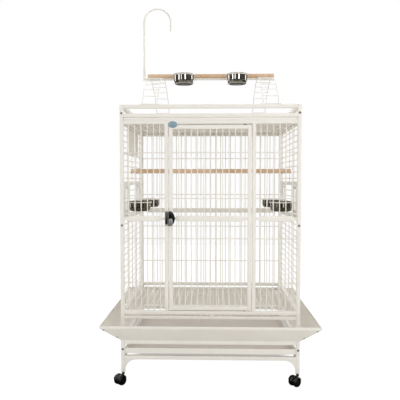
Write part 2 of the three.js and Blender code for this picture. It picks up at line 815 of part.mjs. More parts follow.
// Toy hook: a round bar from the bottom of its sleeve up and over in a half circle, with a short drop
const hookBend = 76;
const hookBendLevel = 1947;
const hookDrop = 51;
const hookBendSteps = 12;

function toyHook() {
  const places = [new THREE.Vector3(hookX, 0, sleeveLow + sleeveFloor + gap)];
  for (let i = 0; i <= hookBendSteps; i += 1) {
    const angle = Math.PI * (1 - i / hookBendSteps);
    const x = hookX + hookBend * (1 + Math.cos(angle));
    places.push(new THREE.Vector3(x, 0, hookBendLevel + hookBend * Math.sin(angle)));
  }
  places.push(new THREE.Vector3(hookX + 2 * hookBend, 0, hookBendLevel - hookDrop));
  return bent(places, hookRadius, hookSides, new THREE.Vector3(0, 1, 0));
}
place("toy_hook", toyHook(), coated);

// Ladders: two legs that rise in an arc from the rim to the bar and draw together, with rungs at even steps
const ladderPlaceShare = 0.845;
const ladderPlace = ladderPlaceShare * barHalf;
const ladderFootHalf = 39;
const ladderFootBar = 50.5;
const ladderTaperShare = 0.6;
const ladderTaperPower = 1.3;
const ladderArc = 0.47;
const ladderHeadPlay = 0.5;
const ladderWireRadius = 2.5;
const ladderSteps = 7;
const rungRadius = 1.7;
const rungPitch = 57;

function ladder(side, end) {
  const foot = new THREE.Vector2(railY, postTop + gap + ladderWireRadius);
  const head = new THREE.Vector2(barRadius + ladderHeadPlay, barLevel);
  const chord = head.clone().sub(foot);
  const arcRadius = chord.length() / 2 / Math.sin(ladderArc);
  const start = Math.atan2(chord.y, chord.x) - ladderArc;
  const along = (t) => {
    const angle = start + 2 * ladderArc * t;
    return {
      y: foot.x + arcRadius * (Math.sin(angle) - Math.sin(start)),
      z: foot.y - arcRadius * (Math.cos(angle) - Math.cos(start)),
      half: ladderFootHalf * (1 - ladderTaperShare * t ** ladderTaperPower),
    };
  };
  const parts = [];
  for (const leg of [-1, 1]) {
    const places = Array.from({ length: ladderSteps + 1 }, (_, i) => {
      const { y, z, half } = along(i / ladderSteps);
      return new THREE.Vector3(side * ladderPlace + leg * half, end * y, z);
    });
    parts.push(bent(places, ladderWireRadius, 4, new THREE.Vector3(1, 0, 0)));
  }
  const x = side * ladderPlace;
  const [footFrom, footTo] = [x - ladderFootBar, x + ladderFootBar];
  parts.push(wire([footFrom, end * foot.x, foot.y], [footTo, end * foot.x, foot.y], ladderWireRadius));
  const arcLength = 2 * ladderArc * arcRadius;
  for (let reach = rungPitch; reach < arcLength; reach += rungPitch) {
    const { y, z, half } = along(reach / arcLength);
    parts.push(wire([x - half, end * y, z], [x + half, end * y, z], rungRadius));
  }
  return joined(parts);
}
for (const [sideName, side] of [["left", -1], ["right", 1]]) {
  for (const [endName, end] of [["front", -1], ["back", 1]]) {
    place(`ladder_${sideName}_${endName}`, ladder(side, end), coated);
  }
}

// Twin wheel castors: a hooded housing on a stem that turns in the leg, and a wheel pair on one axle
const wheelRadius = 25;
const wheelEase = 3;
const wheelInside = 7;
const wheelOutside = 24;
const axleRadius = 3.5;
const axlePlay = 0.5;
const castorTrail = 22;
const webSheet = 9;
const hoodPlay = 1.2;
const hoodSheet = 2.4;
const hoodWidth = 48;
const hoodEnd = 0.35;
const collarRadius = 7;
const collarLow = 49;
const collarHigh = 56;
const wheelSegments = 14;
const hoodInside = wheelRadius + hoodPlay;
const hoodOutside = hoodInside + hoodSheet;
const castorTurns = { front_left: 234, front_right: 222, back_left: 105, back_right: 75 };

function castorHousing() {
  const web = new THREE.Shape();
  web.absarc(castorTrail, wheelRadius, hoodOutside - hoodSheet / 2, -hoodEnd, Math.PI + hoodEnd, false);
  const hole = new THREE.Path();
  hole.absarc(castorTrail, wheelRadius, axleRadius + axlePlay, 0, 2 * Math.PI, true);
  web.holes.push(hole);
  const webGeometry = pushed(web, webSheet);
  webGeometry.translate(0, 0, -webSheet / 2);
  const hood = new THREE.Shape();
  hood.absarc(castorTrail, wheelRadius, hoodOutside, hoodEnd, Math.PI - hoodEnd, false);
  hood.absarc(castorTrail, wheelRadius, hoodInside, Math.PI - hoodEnd, hoodEnd, true);
  const hoodGeometry = pushed(hood, hoodWidth);
  hoodGeometry.translate(0, 0, -hoodWidth / 2);
  const parts = [webGeometry, hoodGeometry].map((geometry) => solid(geometry.rotateX(Math.PI / 2)));
  const neckLow = wheelRadius + hoodInside * Math.sin(hoodEnd);
  const neckFaces = [-webSheet / 2, webSheet / 2];
  parts.push(block([-collarRadius, castorTrail], neckFaces, [neckLow, collarLow + overrun]));
  parts.push(rod(collarRadius, collarLow, collarHigh, hookSides));
  parts.push(rod(castorStemRadius, collarHigh - overrun, legBottom + stemBoreDepth - overrun, stemSides));
  return joined(parts);
}

function castorWheels() {
  const profile = [
    [0, -wheelOutside], [wheelRadius - wheelEase, -wheelOutside], [wheelRadius, wheelEase - wheelOutside],
    [wheelRadius, -wheelInside], [axleRadius, -wheelInside], [axleRadius, wheelInside],
    [wheelRadius, wheelInside], [wheelRadius, wheelOutside - wheelEase],
    [wheelRadius - wheelEase, wheelOutside], [0, wheelOutside],
  ];
  return revolved(profile, wheelSegments).rotate([90, 0, 0]).translate([castorTrail, 0, wheelRadius]);
}

for (const [name, turn] of Object.entries(castorTurns)) {
  const x = name.endsWith("left") ? -railX : railX;
  const y = name.startsWith("front") ? -railY : railY;
  place(`castor_${name}`, castorHousing().rotate([0, 0, turn]).translate([x, y, 0]), blackPlastic);
  place(`wheels_${name}`, castorWheels().rotate([0, 0, turn]).translate([x, y, 0]), blackPlastic);
}

export default group;
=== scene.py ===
"""Looks of a play top bird cage of welded tube and wire, on castors. Millimetres, +Z up, the front at -Y."""

import math

import bpy
import numpy as np
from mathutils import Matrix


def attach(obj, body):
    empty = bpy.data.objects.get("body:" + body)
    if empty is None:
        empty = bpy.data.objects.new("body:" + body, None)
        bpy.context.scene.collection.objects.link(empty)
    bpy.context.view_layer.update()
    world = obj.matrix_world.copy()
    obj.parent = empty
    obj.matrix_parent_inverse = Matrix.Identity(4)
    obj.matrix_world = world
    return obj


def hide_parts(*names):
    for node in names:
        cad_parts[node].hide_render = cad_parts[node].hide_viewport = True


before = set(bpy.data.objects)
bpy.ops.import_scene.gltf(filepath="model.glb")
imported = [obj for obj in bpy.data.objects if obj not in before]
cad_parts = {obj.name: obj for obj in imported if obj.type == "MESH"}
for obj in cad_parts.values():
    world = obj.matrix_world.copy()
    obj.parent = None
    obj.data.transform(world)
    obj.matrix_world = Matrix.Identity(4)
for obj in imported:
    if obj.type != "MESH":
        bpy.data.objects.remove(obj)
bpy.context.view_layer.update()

# Side frames: two posts each of 19 mm square steel tube, joined by six level rails, with two strips bent
# inward as runners for the grate and the tray. They are MIG welded, then powder coated cream.
MM = 0.001
X, Y, Z = range(3)
HALF_WIDTH, HALF_DEPTH, TUBE = 457, 355.5, 19
HALF_TUBE = TUBE / 2
INNER_X, INNER_Y = HALF_WIDTH - TUBE, HALF_DEPTH - TUBE
RAIL_X, RAIL_Y = HALF_WIDTH - HALF_TUBE, HALF_DEPTH - HALF_TUBE
LEG_BOTTOM, POST_TOP = 61, 1428
STAND_LOWER, STAND_UPPER, BOTTOM_RAIL, HEADER, RIM_LOWER, RIM_UPPER = 128, 208, 362, 1331, 1364, 1409
TRAY_LEVEL, GRATE_RUNNER = 160, 338
SIDES = (("left", -1), ("right", 1))


def linear(code):
    """An sRGB hex colour made linear: c / 12.92 where c is small, else ((c + 0.055) / 1.055) to the 2.4."""
    c = np.array([int(code[i:i + 2], 16) for i in (1, 3, 5)]) / 255
    return (*np.where(c > 0.04045, ((c + 0.055) / 1.055) ** 2.4, c / 12.92), 1.0)


def add(tree, kind, settings, sockets):
    """Adds a node: settings are its own values, and a socket takes a value or a link, (node, output)."""
    node = tree.nodes.new(kind)
    for name, value in settings.items():
        setattr(node, name, value)
    join(tree, node, sockets)
    return node


def join(tree, node, sockets):
    """Sets a node's sockets: a pair of a node and an output's name is linked, and all else is a value."""
    for key, value in sockets.items():
        if isinstance(value, tuple) and isinstance(value[0], bpy.types.Node):
            tree.links.new(value[0].outputs[value[1]], node.inputs[key])
        else:
            node.inputs[key].default_value = value


def surface(name, **look):
    """A new material, as (material, node tree, shader, object coordinates), with its shader's values set."""
    material = bpy.data.materials.new(name)
    material.use_nodes = True
    tree = material.node_tree
    shader = tree.nodes["Principled BSDF"]
    join(tree, shader, {key.replace("_", " "): value for key, value in look.items()})
    place = add(tree, "ShaderNodeTexCoord", {}, {})
    return material, tree, shader, (place, "Object")


# Polyester powder coat, sprayed dry and baked: satin, with soft orange peel. The peel is about 1 mm across,
# which is too fine for the picture, so its bump is drawn at 4 mm. The film is thicker in some places, which
# shifts its tone. In the bottom tray and on the skirts, what faces up is painted a darker warm grey, as
# painted shade for the funnel that the skirts make.
def coated(name, shade_share=0.0):
    """Powder coat as a material. Its second value is the share of the painted shade colour on a level face.
    It falls in line with the height of the normal, to nothing on a face steeper than 60 degrees."""
    material, tree, shader, at = surface(name, Roughness=0.42, IOR=1.5, Specular_IOR_Level=0.45)
    tone = add(tree, "ShaderNodeTexNoise", {},
               {"Vector": at, "Scale": 1 / 0.11, "Detail": 3.0, "Roughness": 0.55})
    film = add(tree, "ShaderNodeMix", {"data_type": "RGBA"},
               {0: (tone, "Fac"), 6: linear("#e6e2d9"), 7: linear("#f0ede6")})
    slant = add(tree, "ShaderNodeSeparateXYZ", {}, {"Vector": (at[0], "Normal")})
    level = add(tree, "ShaderNodeMapRange", {}, {"Value": (slant, "Z"), "From Min": 0.5, "To Max": shade_share})
    # Painted shade: faces that look up are darkened towards this warm grey
    shaded_film = add(tree, "ShaderNodeMix", {"data_type": "RGBA"},
                 {0: (level, "Result"), 6: (film, 2), 7: linear("#d2cac2")})
    peel = add(tree, "ShaderNodeTexNoise", {}, {"Vector": at, "Scale": 1 / 0.004, "Detail": 1.0})
    dent = add(tree, "ShaderNodeBump", {}, {"Strength": 0.12, "Distance": 0.0004, "Height": (peel, "Fac")})
    sheen = add(tree, "ShaderNodeMapRange", {}, {"Value": (tone, "Fac"), "To Min": 0.36, "To Max": 0.5})
    join(tree, shader,
         {"Base Color": (shaded_film, 2), "Normal": (dent, "Normal"), "Roughness": (sheen, "Result")})
    return material


powder_coat = coated("powder_coat")
# A copy of the coat with painted shade on what faces up, for the bottom tray and the skirts
shade_painted_coat = coated("shade_painted_coat", 1.0)


def rounded(width, height, radius):
    """Outline of a rectangle with round corners, anticlockwise: each corner's centre plus a quarter turn."""
    turn = np.linspace(0, math.pi / 2, 4)
    x, y = width / 2 - radius, height / 2 - radius
    corners = ((x, y, 0), (-x, y, 0.5), (-x, -y, 1), (x, -y, 1.5))
    return np.concatenate([
        np.stack([cx + radius * np.cos(turn + start * math.pi),
                  cy + radius * np.sin(turn + start * math.pi)], 1)
        for cx, cy, start in corners
    ])


def circle(radius, sides=12):
    """Outline of a circle: cosine and sine of evenly stepped angles, times the radius."""
    turn = 2 * math.pi * np.arange(sides) / sides
    return radius * np.stack([np.cos(turn), np.sin(turn)], 1)


def lofted(rings, closed=False):
    """Skin over rings of points: a grid with a row for each ring, capped unless it closes on itself."""
    rings = np.asarray(rings, float)
    rows, columns = rings.shape[:2]
    i, j = np.meshgrid(np.arange(rows if closed else rows - 1), np.arange(columns), indexing="ij")
    here, ahead, beside = i * columns, (i + 1) % rows * columns, (j + 1) % columns
    groups = [np.stack([here + j, here + beside, ahead + beside, ahead + j], -1).reshape(-1, 4)]
    if not closed:
        ring = np.arange(columns)
        groups += [ring[None, ::-1], ring[None] + (rows - 1) * columns]
    return rings.reshape(-1, 3), groups


def directions(axis):
    """An axis and the two after it, as unit vectors."""
    return (np.eye(3)[(axis + k) % 3] for k in range(3))


def bars(section, axis, low, high, places, ease=0.0):
    """Straight bars along an axis between two limits. A place gives the other two coordinates in the order
    X, Y, Z. The section's two directions are the next two axes, and ease rounds the ends."""
    places = np.atleast_2d(np.asarray(places, float))
    near = np.insert(places, axis, np.minimum(low, high), axis=1)[:, None]
    far = np.insert(places, axis, np.maximum(low, high), axis=1)[:, None]
    along, across, upward = directions(axis)
    ring = section[:, :1] * across + section[:, 1:] * upward
    rows = [near + ring, far + ring]
    if ease:
        tight = ring * (1 - ease / np.abs(section).max())
        rows = [near + tight, near + ring + ease * along, far + ring - ease * along, far + tight]
    return [lofted(rings) for rings in np.stack(rows, 1)]


def beads(places, axis, radius=1.5):
    """Weld beads round the ends of square tubes: a small circle carried round the tube's outline."""
    along, across, upward = directions(axis)
    ring = SQUARE[:, :1] * across + SQUARE[:, 1:] * upward
    outward = ring / np.linalg.norm(ring, axis=1)[:, None]
    bead = circle(radius, 8)
    skin = ring[:, None] + bead[None, :, :1] * outward[:, None] - bead[None, :, 1:] * along
    return [lofted(np.asarray(place) + skin, closed=True) for place in places]


def piece(name, parts, material, body="cage", nodes=()):
    """One object made of parts, smooth but for its creases. It rides on a body and stands for CAD nodes."""
    points, faces, count = [], [], 0
    for corners, groups in parts:
        for group in groups:
            faces += (group + count).tolist()
        points.append(corners)
        count += len(corners)
    mesh = bpy.data.meshes.new(name)
    mesh.from_pydata((np.concatenate(points) * MM).tolist(), [], faces)
    mesh.shade_smooth()
    mesh.set_sharp_from_angle(angle=math.radians(CREASE))
    mesh.materials.append(material)
    thing = bpy.data.objects.new(name, mesh)
    bpy.context.scene.collection.objects.link(thing)
    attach(thing, body)
    if nodes:
        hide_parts(*nodes)


# The angle in degrees from which an edge is a crease
CREASE = 38
SQUARE = rounded(TUBE, TUBE, 2.2)
RUNNER = rounded(2.4, 5.8, 0.9)
for side, s in SIDES:
    rails = [z + HALF_TUBE for z in (STAND_LOWER, STAND_UPPER, BOTTOM_RAIL, HEADER, RIM_LOWER, RIM_UPPER)]
    x, runner_x = s * RAIL_X, s * (INNER_X - 2.1)
    parts = bars(SQUARE, Z, LEG_BOTTOM, POST_TOP, [(x, -RAIL_Y), (x, RAIL_Y)], 1.2)
    parts += bars(SQUARE, Y, -INNER_Y - 1, INNER_Y + 1, [(x, z) for z in rails])
    parts += beads([(x, e * INNER_Y, z) for z in rails for e in (-1, 1)], Y)
    parts += bars(RUNNER, Y, -RAIL_Y, RAIL_Y, [(runner_x, z - 1.5) for z in (TRAY_LEVEL, GRATE_RUNNER)])
    piece(f"side_frame_tubes_{side}", parts, powder_coat, nodes=[f"side_frame_{side}"])

# Rails of the stand: the same tube, bolted between the side frames front and back. The lower ones carry a
# gusset at each leg, cut from 4 mm plate with a quarter-round hollow and welded in the corner.
# The running gap between two pieces, and how far the edge of a sawn tube end is eased
GAP, SAWN = 0.3, 0.6
CROSS = INNER_X - GAP
GUSSET_REACH, GUSSET_DROP, GUSSET_PLATE = 66, 57, 4
ENDS = (("front", -1), ("back", 1))
for end, e in ENDS:
    upper = bars(SQUARE, X, -CROSS, CROSS, (e * RAIL_Y, STAND_UPPER + HALF_TUBE), SAWN)
    piece(f"stand_upper_tube_{end}", upper, powder_coat, nodes=[f"stand_rail_{end}_upper"])
    lower = bars(SQUARE, X, -CROSS, CROSS, (e * RAIL_Y, STAND_LOWER + HALF_TUBE), SAWN)
    for s in (-1, 1):
        # The hollow edge is a quadratic curve between the two tips, pulled towards the corner
        t = np.linspace(0, 1, 15)
        hollow = np.stack([CROSS - GUSSET_REACH * (0.36 * t * (1 - t) + t ** 2),
                           STAND_LOWER - GUSSET_DROP * (1 - t) ** 2], 1)
        weld = [[CROSS - GUSSET_REACH, STAND_LOWER + 1], [CROSS, STAND_LOWER + 1]]
        outline = np.concatenate([hollow, weld])
        if s < 0:
            outline = (outline * (-1, 1))[::-1]
        faces = sorted((e * HALF_DEPTH, e * (HALF_DEPTH - GUSSET_PLATE)))
        lower.append(lofted([np.insert(outline, 1, face, axis=1) for face in faces]))
    piece(f"stand_lower_tube_{end}", lower, powder_coat, nodes=[f"stand_rail_{end}_lower"])

# Twin wheel castors: a nylon hood and web moulded in one, on a steel stem pressed into the leg, with two
# wheels on one axle. All black nylon: moulded, a little shiny on the edges, with scuffs about 6 mm across.
black_nylon, tree, shader, at = surface("black_nylon", IOR=1.53, Specular_IOR_Level=0.2)
speck = add(tree, "ShaderNodeTexNoise", {}, {"Vector": at, "Scale": 1 / 0.006, "Detail": 4.0})
shade = add(tree, "ShaderNodeMix", {"data_type": "RGBA"},
            {0: (speck, "Fac"), 6: linear("#060706"), 7: linear("#0f110f")})
scuff = add(tree, "ShaderNodeMapRange", {}, {"Value": (speck, "Fac"), "To Min": 0.16, "To Max": 0.36})
grain = add(tree, "ShaderNodeBump", {}, {"Strength": 0.15, "Distance": 0.0005, "Height": (speck, "Fac")})
join(tree, shader, {"Base Color": (shade, 2), "Roughness": (scuff, "Result"), "Normal": (grain, "Normal")})


def turned(profile, sides, axis=Z, centre=(0, 0, 0)):
    """Surface of revolution: each profile pair of radius and height is turned through evenly stepped angles.
    The profile runs anticlockwise, seen with the axis at its left, and the holes at its ends are capped."""
    profile = np.asarray(profile, float)
    turn = 2 * math.pi * np.arange(sides) / sides
    along, across, upward = directions(axis)
    wheel = np.cos(turn)[:, None] * across + np.sin(turn)[:, None] * upward
    rings = profile[:, None, :1] * wheel + profile[:, None, 1:] * along + np.asarray(centre, float)
    return lofted(rings)


def placed(parts, turn, offset=(0, 0, 0)):
    """Parts turned about the vertical by an angle in degrees, then moved."""
    c, s = math.cos(math.radians(turn)), math.sin(math.radians(turn))
    spin = np.array([[c, s, 0], [-s, c, 0], [0, 0, 1]])
    return [(points @ spin + np.asarray(offset, float), groups) for points, groups in parts]


# How far the axle trails the stem, the wheel's radius, the hood's radius, half width and thickness, and how
# far below the level of the axle its ends reach, in radians
TRAIL, WHEEL, HOOD, HOOD_HALF, HOOD_WALL, HOOD_DROP = 22, 25, 27.4, 23.8, 2.2, 0.35
WEB_RADIUS, WEB_HALF = HOOD - 3.4, 4.5
STEM = [(0.1, 55), (5, 55), (5, 57.6), (9.2, 58), (9.4, 60.4), (5, 60.8), (5, 86), (0.1, 86.6)]
COLLAR = [(0.1, 48), (7, 48), (7.6, 50), (7, 54.5), (6, 55.8), (0.1, 56)]
AXLE = [(0.1, -7.5), (3.4, -7.5), (3.4, 7.5), (0.1, 7.5)]
TREAD = [(0.1, 7), (23.6, 7), (24.8, 9), (25, 13), (24.7, 17), (23.8, 20.4), (22.4, 22.8)]
HUB = [(20.6, 24), (19.4, 23.4), (18.6, 21.6), (9.4, 20.8), (8.2, 23.2), (5, 24), (0.1, 24)]
for name, turn in (("front_left", 234), ("front_right", 222), ("back_left", 105), ("back_right", 75)):
    leg_x = RAIL_X if name.endswith("right") else -RAIL_X
    leg_y = RAIL_Y if name.startswith("back") else -RAIL_Y
    # Hood: a thin strip carried over both wheels. Its section has a lobe over each wheel: the middle dips by
    # a cosine and the edges turn down by a square.
    wide = np.linspace(-HOOD_HALF, HOOD_HALF, 25)
    lobes = HOOD + 1.2 - 2 * (1 + np.cos(math.pi * np.clip(np.abs(wide) / 8, 0, 1)))
    lobes -= 3.4 * np.clip((np.abs(wide) - 13) / 10.8, 0, 1) ** 2
    strip = np.concatenate([np.stack([wide, lobes], 1)[::-1], np.stack([wide, lobes - HOOD_WALL], 1)])
    housing = [lofted([
        np.stack([TRAIL + strip[:, 1] * np.cos(a), strip[:, 0], WHEEL + strip[:, 1] * np.sin(a)], 1)
        for a in np.linspace(math.pi - HOOD_DROP, HOOD_DROP, 25)
    ])]
    rim = np.linspace(-HOOD_DROP, math.pi + HOOD_DROP, 25)
    web = np.stack([TRAIL + WEB_RADIUS * np.cos(rim), WHEEL + WEB_RADIUS * np.sin(rim)], 1)
    housing.append(lofted([np.insert(web, 1, y, axis=1) for y in (WEB_HALF, -WEB_HALF)]))
    # Neck between the web and the collar
    housing += bars(rounded(21, 9, 3), Z, 36, 50, (7.5, 0), 1.2)
    housing += [turned(COLLAR, 24), turned(STEM, 24)]
    piece(f"castor_hood_{name}", placed(housing, turn, (leg_x, leg_y, 0)), black_nylon, f"castor_{name}",
          [f"castor_{name}"])
    # Wheels: a rounded tread, and a dished face with a raised hub cap
    wheel = np.array(TREAD + HUB)
    pair = [turned(wheel, 40, Y), turned(wheel[::-1] * (1, -1), 40, Y), turned(AXLE, 16, Y)]
    pair = [(points + (TRAIL, 0, WHEEL), groups) for points, groups in pair]
    piece(f"castor_wheels_{name}", placed(pair, turn, (leg_x, leg_y, 0)), black_nylon, f"wheels_{name}",
          [f"wheels_{name}"])


def pan(axis, low, high, sheet=1.2, corner=4, hem=0.0):
    """Open pan of folded sheet: rounded rectangles up the outside, over the rim and down the inside. The
    floor lies across the axis at the low end, and a hem doubles the sheet inside the rim."""
    low, high = np.asarray(low, float), np.asarray(high, float)
    along, across, upward = directions(axis)
    size, middle = high - low, (low + high) / 2
    middle[axis] = 0
    a, b = (axis + 1) % 3, (axis + 2) % 3

    def ring(inset, level):
        outline = rounded(size[a] - 2 * inset, size[b] - 2 * inset, max(corner - inset, 0.6))
        return middle + outline[:, :1] * across + outline[:, 1:] * upward + level * along

    base, top = low[axis], high[axis]
    rows = [ring(0.8, base), ring(0, base + 0.8), ring(0, top - 0.6), ring(0.5, top)]
    if hem:
        rows += [ring(2 * sheet, top), ring(2 * sheet + 0.4, top - 0.6), ring(2 * sheet + 0.4, top - hem)]
    rows += [ring(sheet, top - hem - 0.4 if hem else top), ring(sheet, base + sheet + 0.8)]
    rows += [ring(sheet + 0.8, base + sheet)]
    return lofted(rows)


# Bottom tray: a pan folded from steel sheet with a hemmed rim, which slides on its runners between the stand
# rails. What faces up in it is painted a darker grey, as painted shade under the grate and the skirts.
SLIDE, SLIDE_BACK, TRAY_RIM = INNER_X - 0.8, 334.5, 188
tray = pan(Z, (-SLIDE, -HALF_DEPTH, TRAY_LEVEL), (SLIDE, SLIDE_BACK, TRAY_RIM), hem=7)
piece("bottom_tray_pan", [tray], shade_painted_coat, "bottom_tray", ["bottom_tray"])

# Grate: a rim of 12 by 16 mm bar, 5 mm wires from front to back welded on two cross wires, and a small pull
# tab folded from strip at the front. It lies above the funnel that the skirts make.
PITCH = 31.75


def spread(low, high):
    """Places of as many wires as fit between two limits at the wire pitch, with equal ends."""
    count = math.floor((high - low) / PITCH - 0.1)
    return (low + high) / 2 + PITCH * (np.arange(count) - (count - 1) / 2)


# The radius of a wire, the step between two crossing layers, and where the two cross wires lie
WIRE, STEP, CROSS_WIRES = 2.5, 4.8, (-156.4, 156.4)
ROUND = circle(WIRE)
GRATE_LEVEL, GRATE_BAR, GRATE_TALL = 346, 12, 16
TAB_X, TAB_LOW, TAB_HIGH = 10, 341, 364
inside_x, front, back = SLIDE - GRATE_BAR, -HALF_DEPTH + GRATE_BAR, SLIDE_BACK - GRATE_BAR
rim_y = (front - GRATE_BAR / 2, back + GRATE_BAR / 2)
rim_x = (-inside_x - GRATE_BAR / 2, inside_x + GRATE_BAR / 2)
parts = bars(rounded(GRATE_BAR, GRATE_TALL, 2.5), X, -SLIDE, SLIDE, [(y, GRATE_LEVEL) for y in rim_y], 1)
parts += bars(rounded(GRATE_TALL, GRATE_BAR, 2.5), Y, front - 1, back + 1, [(x, GRATE_LEVEL) for x in rim_x])
parts += bars(ROUND, Y, front - 1, back + 1, [(x, GRATE_LEVEL) for x in spread(-inside_x, inside_x)])
parts += bars(ROUND, X, -inside_x - 1, inside_x + 1, [(y, GRATE_LEVEL - STEP) for y in CROSS_WIRES])
piece("grate_wires", parts, powder_coat, "grate", ["grate"])
tab = bars(rounded(16, 1.5, 0.5), Z, TAB_LOW, TAB_HIGH, (TAB_X, -HALF_DEPTH - 1.05), 0.4)
piece("pull_tab", tab, powder_coat, "grate", ["grate_tab"])

# Seed skirts: sheet steel bent up at the outer edge into a hemmed lip, sloping down to the stand, mitred at
# the corners and bolted to each other through a flange along each mitre.
SKIRT_FOOT, SKIRT_REACH, SKIRT_RISE, SKIRT_LIP, SKIRT_SHEET = 228, 90, 86, 13, 1.2
bend_z, lip_z, inner = SKIRT_FOOT + SKIRT_RISE, SKIRT_FOOT + SKIRT_RISE + SKIRT_LIP, SKIRT_REACH - SKIRT_SHEET
OUTSIDE = [(0.3, SKIRT_FOOT), (SKIRT_REACH - 2.2, bend_z - 2.1), (SKIRT_REACH - 0.7, bend_z - 0.4),
           (SKIRT_REACH, bend_z + 1.6)]
HEM = [(SKIRT_REACH, lip_z - 0.6), (SKIRT_REACH - 0.6, lip_z), (SKIRT_REACH - 2.2, lip_z),
       (SKIRT_REACH - 2.8, lip_z - 0.6), (SKIRT_REACH - 2.8, lip_z - 7), (inner, lip_z - 7.4)]
INSIDE = [(inner, bend_z + 2), (inner - 1.2, bend_z), (SKIRT_REACH - 3.8, bend_z - 1.7),
          (0.3, SKIRT_FOOT + 1.6)]
profile = np.array(OUTSIDE + HEM + INSIDE)[::-1]
for name, half, distance, turn in (
    ("front", HALF_WIDTH, HALF_DEPTH, 0),
    ("right", HALF_DEPTH, HALF_WIDTH, 90),
    ("back", HALF_WIDTH, HALF_DEPTH, 180),
    ("left", HALF_DEPTH, HALF_WIDTH, 270),
):
    reach = half + profile[:, 0] - GAP
    rows = [np.stack([e * reach, -(distance + profile[:, 0]), profile[:, 1]], 1) for e in (-1, 1)]
    # The skirts take the coat with painted shade, so what faces up on them is darker
    piece(f"seed_skirt_{name}", placed([lofted(rows)], turn), shade_painted_coat, nodes=[f"skirt_{name}"])

# Front frame: a header and a bottom rail of the same tube, with the two door posts welded between them. It
# stands between the side frames, as the rails of the stand do.
DOOR_OPENING = 424
posts = [(s * (DOOR_OPENING / 2 + HALF_TUBE), -RAIL_Y) for s in (-1, 1)]
rail_z = (HEADER + HALF_TUBE, BOTTOM_RAIL + HALF_TUBE)
parts = bars(SQUARE, X, -CROSS, CROSS, [(-RAIL_Y, z) for z in rail_z], SAWN)
parts += bars(SQUARE, Z, BOTTOM_RAIL + TUBE - 1, HEADER + 1, posts)
parts += beads([(*post, z) for post in posts for z in (BOTTOM_RAIL + TUBE, HEADER)], Z, radius=1.2)
piece("front_frame_tubes", parts, powder_coat, nodes=["front_frame"])

# Rim rails of the play top: four lengths of the same tube between the posts, at the front and at the back.
# The pull-out tray slides below the lower ones.
for end, e in ENDS:
    for which, level in (("lower", RIM_LOWER), ("upper", RIM_UPPER)):
        rail = bars(SQUARE, X, -CROSS, CROSS, (e * RAIL_Y, level + HALF_TUBE), SAWN)
        piece(f"rim_tube_{end}_{which}", rail, powder_coat, nodes=[f"rim_rail_{end}_{which}"])

# Side meshes: level 5 mm wires at 31.75 mm, resistance welded to four uprights inside them. The mid rail is a
# round tube pressed flat, with its ends necked down where they weld between the posts. The upper left mesh
# leaves out the nest box opening.
MID_RAIL, MID_HEIGHT, MID_DEPTH = 838, 29, 12
NECK_HEIGHT, NECK_LENGTH, NECK_SLOPE = 14, 14, 14


def mid_rail(start, end):
    """Flattened tube: a superellipse, x = cos^0.6 and y = sin^0.6 of the angle, whose height eases by a
    cosine from the necks to its full one."""
    start, end = np.asarray(start, float), np.asarray(end, float)
    axis = int(np.argmax(np.abs(end - start)))
    length = abs(end - start)[axis]
    from_end = np.concatenate([[0, NECK_LENGTH], NECK_LENGTH + NECK_SLOPE * np.linspace(0.15, 1, 7)])
    places = np.concatenate([from_end, length - from_end[::-1]])
    rise = np.clip((np.minimum(places, length - places) - NECK_LENGTH) / NECK_SLOPE, 0, 1)
    rise = (1 - np.cos(math.pi * rise)) / 2
    turn = 2 * math.pi * np.arange(28) / 28
    wide = np.sign(np.cos(turn)) * np.abs(np.cos(turn)) ** 0.6
    tall = np.sign(np.sin(turn)) * np.abs(np.sin(turn)) ** 0.6
    depth = (MID_DEPTH - 2 + 2 * rise[:, None]) / 2 * wide
    height = (NECK_HEIGHT + (MID_HEIGHT - NECK_HEIGHT) * rise[:, None]) / 2 * tall
    along, across = np.eye(3)[axis], np.eye(3)[1 - axis] * (1 if axis == X else -1)
    rings = (np.minimum(start, end) + places[:, None, None] * along + depth[..., None] * across
             + height[..., None] * np.array([0, 0, 1]))
    return lofted(rings)


UPRIGHTS = [share * (2 * HALF_DEPTH) for share in (-0.3, -0.1, 0.1, 0.3)]
FEEDER_RAIL, NEST_HALF, NEST_BOTTOM = 1021, 163, 1192
MID_LEVEL = MID_RAIL + MID_HEIGHT / 2
# Wires run this far into the tube that they are welded to
BITE = 0.4
upper_levels = spread(FEEDER_RAIL + TUBE, HEADER - GAP)
for side, s in SIDES:
    x, inner, reach = s * RAIL_X, s * (RAIL_X - STEP), INNER_Y + 0.6
    uprights = [(inner, y) for y in UPRIGHTS]
    parts = [mid_rail((x, -reach, MID_LEVEL), (x, reach, MID_LEVEL))]
    parts += bars(ROUND, Z, BOTTOM_RAIL + TUBE - BITE, MID_LEVEL, uprights)
    lower_levels = spread(BOTTOM_RAIL + TUBE + GAP, MID_RAIL)
    parts += bars(ROUND, Y, -reach, reach, [(x, z) for z in lower_levels])
    piece(f"side_wires_lower_{side}", parts, powder_coat, nodes=[f"side_mesh_lower_{side}"])

    has_nest = side == "left"
    parts = bars(SQUARE, Y, -INNER_Y, INNER_Y, (x, FEEDER_RAIL + HALF_TUBE))
    parts += beads([(x, e * INNER_Y, FEEDER_RAIL + HALF_TUBE) for e in (-1, 1)], Y)
    tops = [NEST_BOTTOM if has_nest and abs(y) < NEST_HALF else HEADER + BITE for y in UPRIGHTS]
    parts += bars(ROUND, Z, FEEDER_RAIL + TUBE - 2 * BITE, tops, uprights)
    full = [(x, z) for z in upper_levels if z < NEST_BOTTOM or not has_nest]
    parts += bars(ROUND, Y, -reach, reach, full)
    if has_nest:
        beside = [(x, z) for z in upper_levels if z > NEST_BOTTOM]
        for e in (-1, 1):
            parts += bars(ROUND, Y, e * NEST_HALF, e * reach, beside)
        parts += bars(ROUND, Y, -reach, reach, (x, NEST_BOTTOM))
        parts += bars(ROUND, Z, NEST_BOTTOM, HEADER + BITE, [(x, -NEST_HALF), (x, NEST_HALF)])
    piece(f"side_wires_upper_{side}", parts, powder_coat, nodes=[f"side_mesh_upper_{side}"])

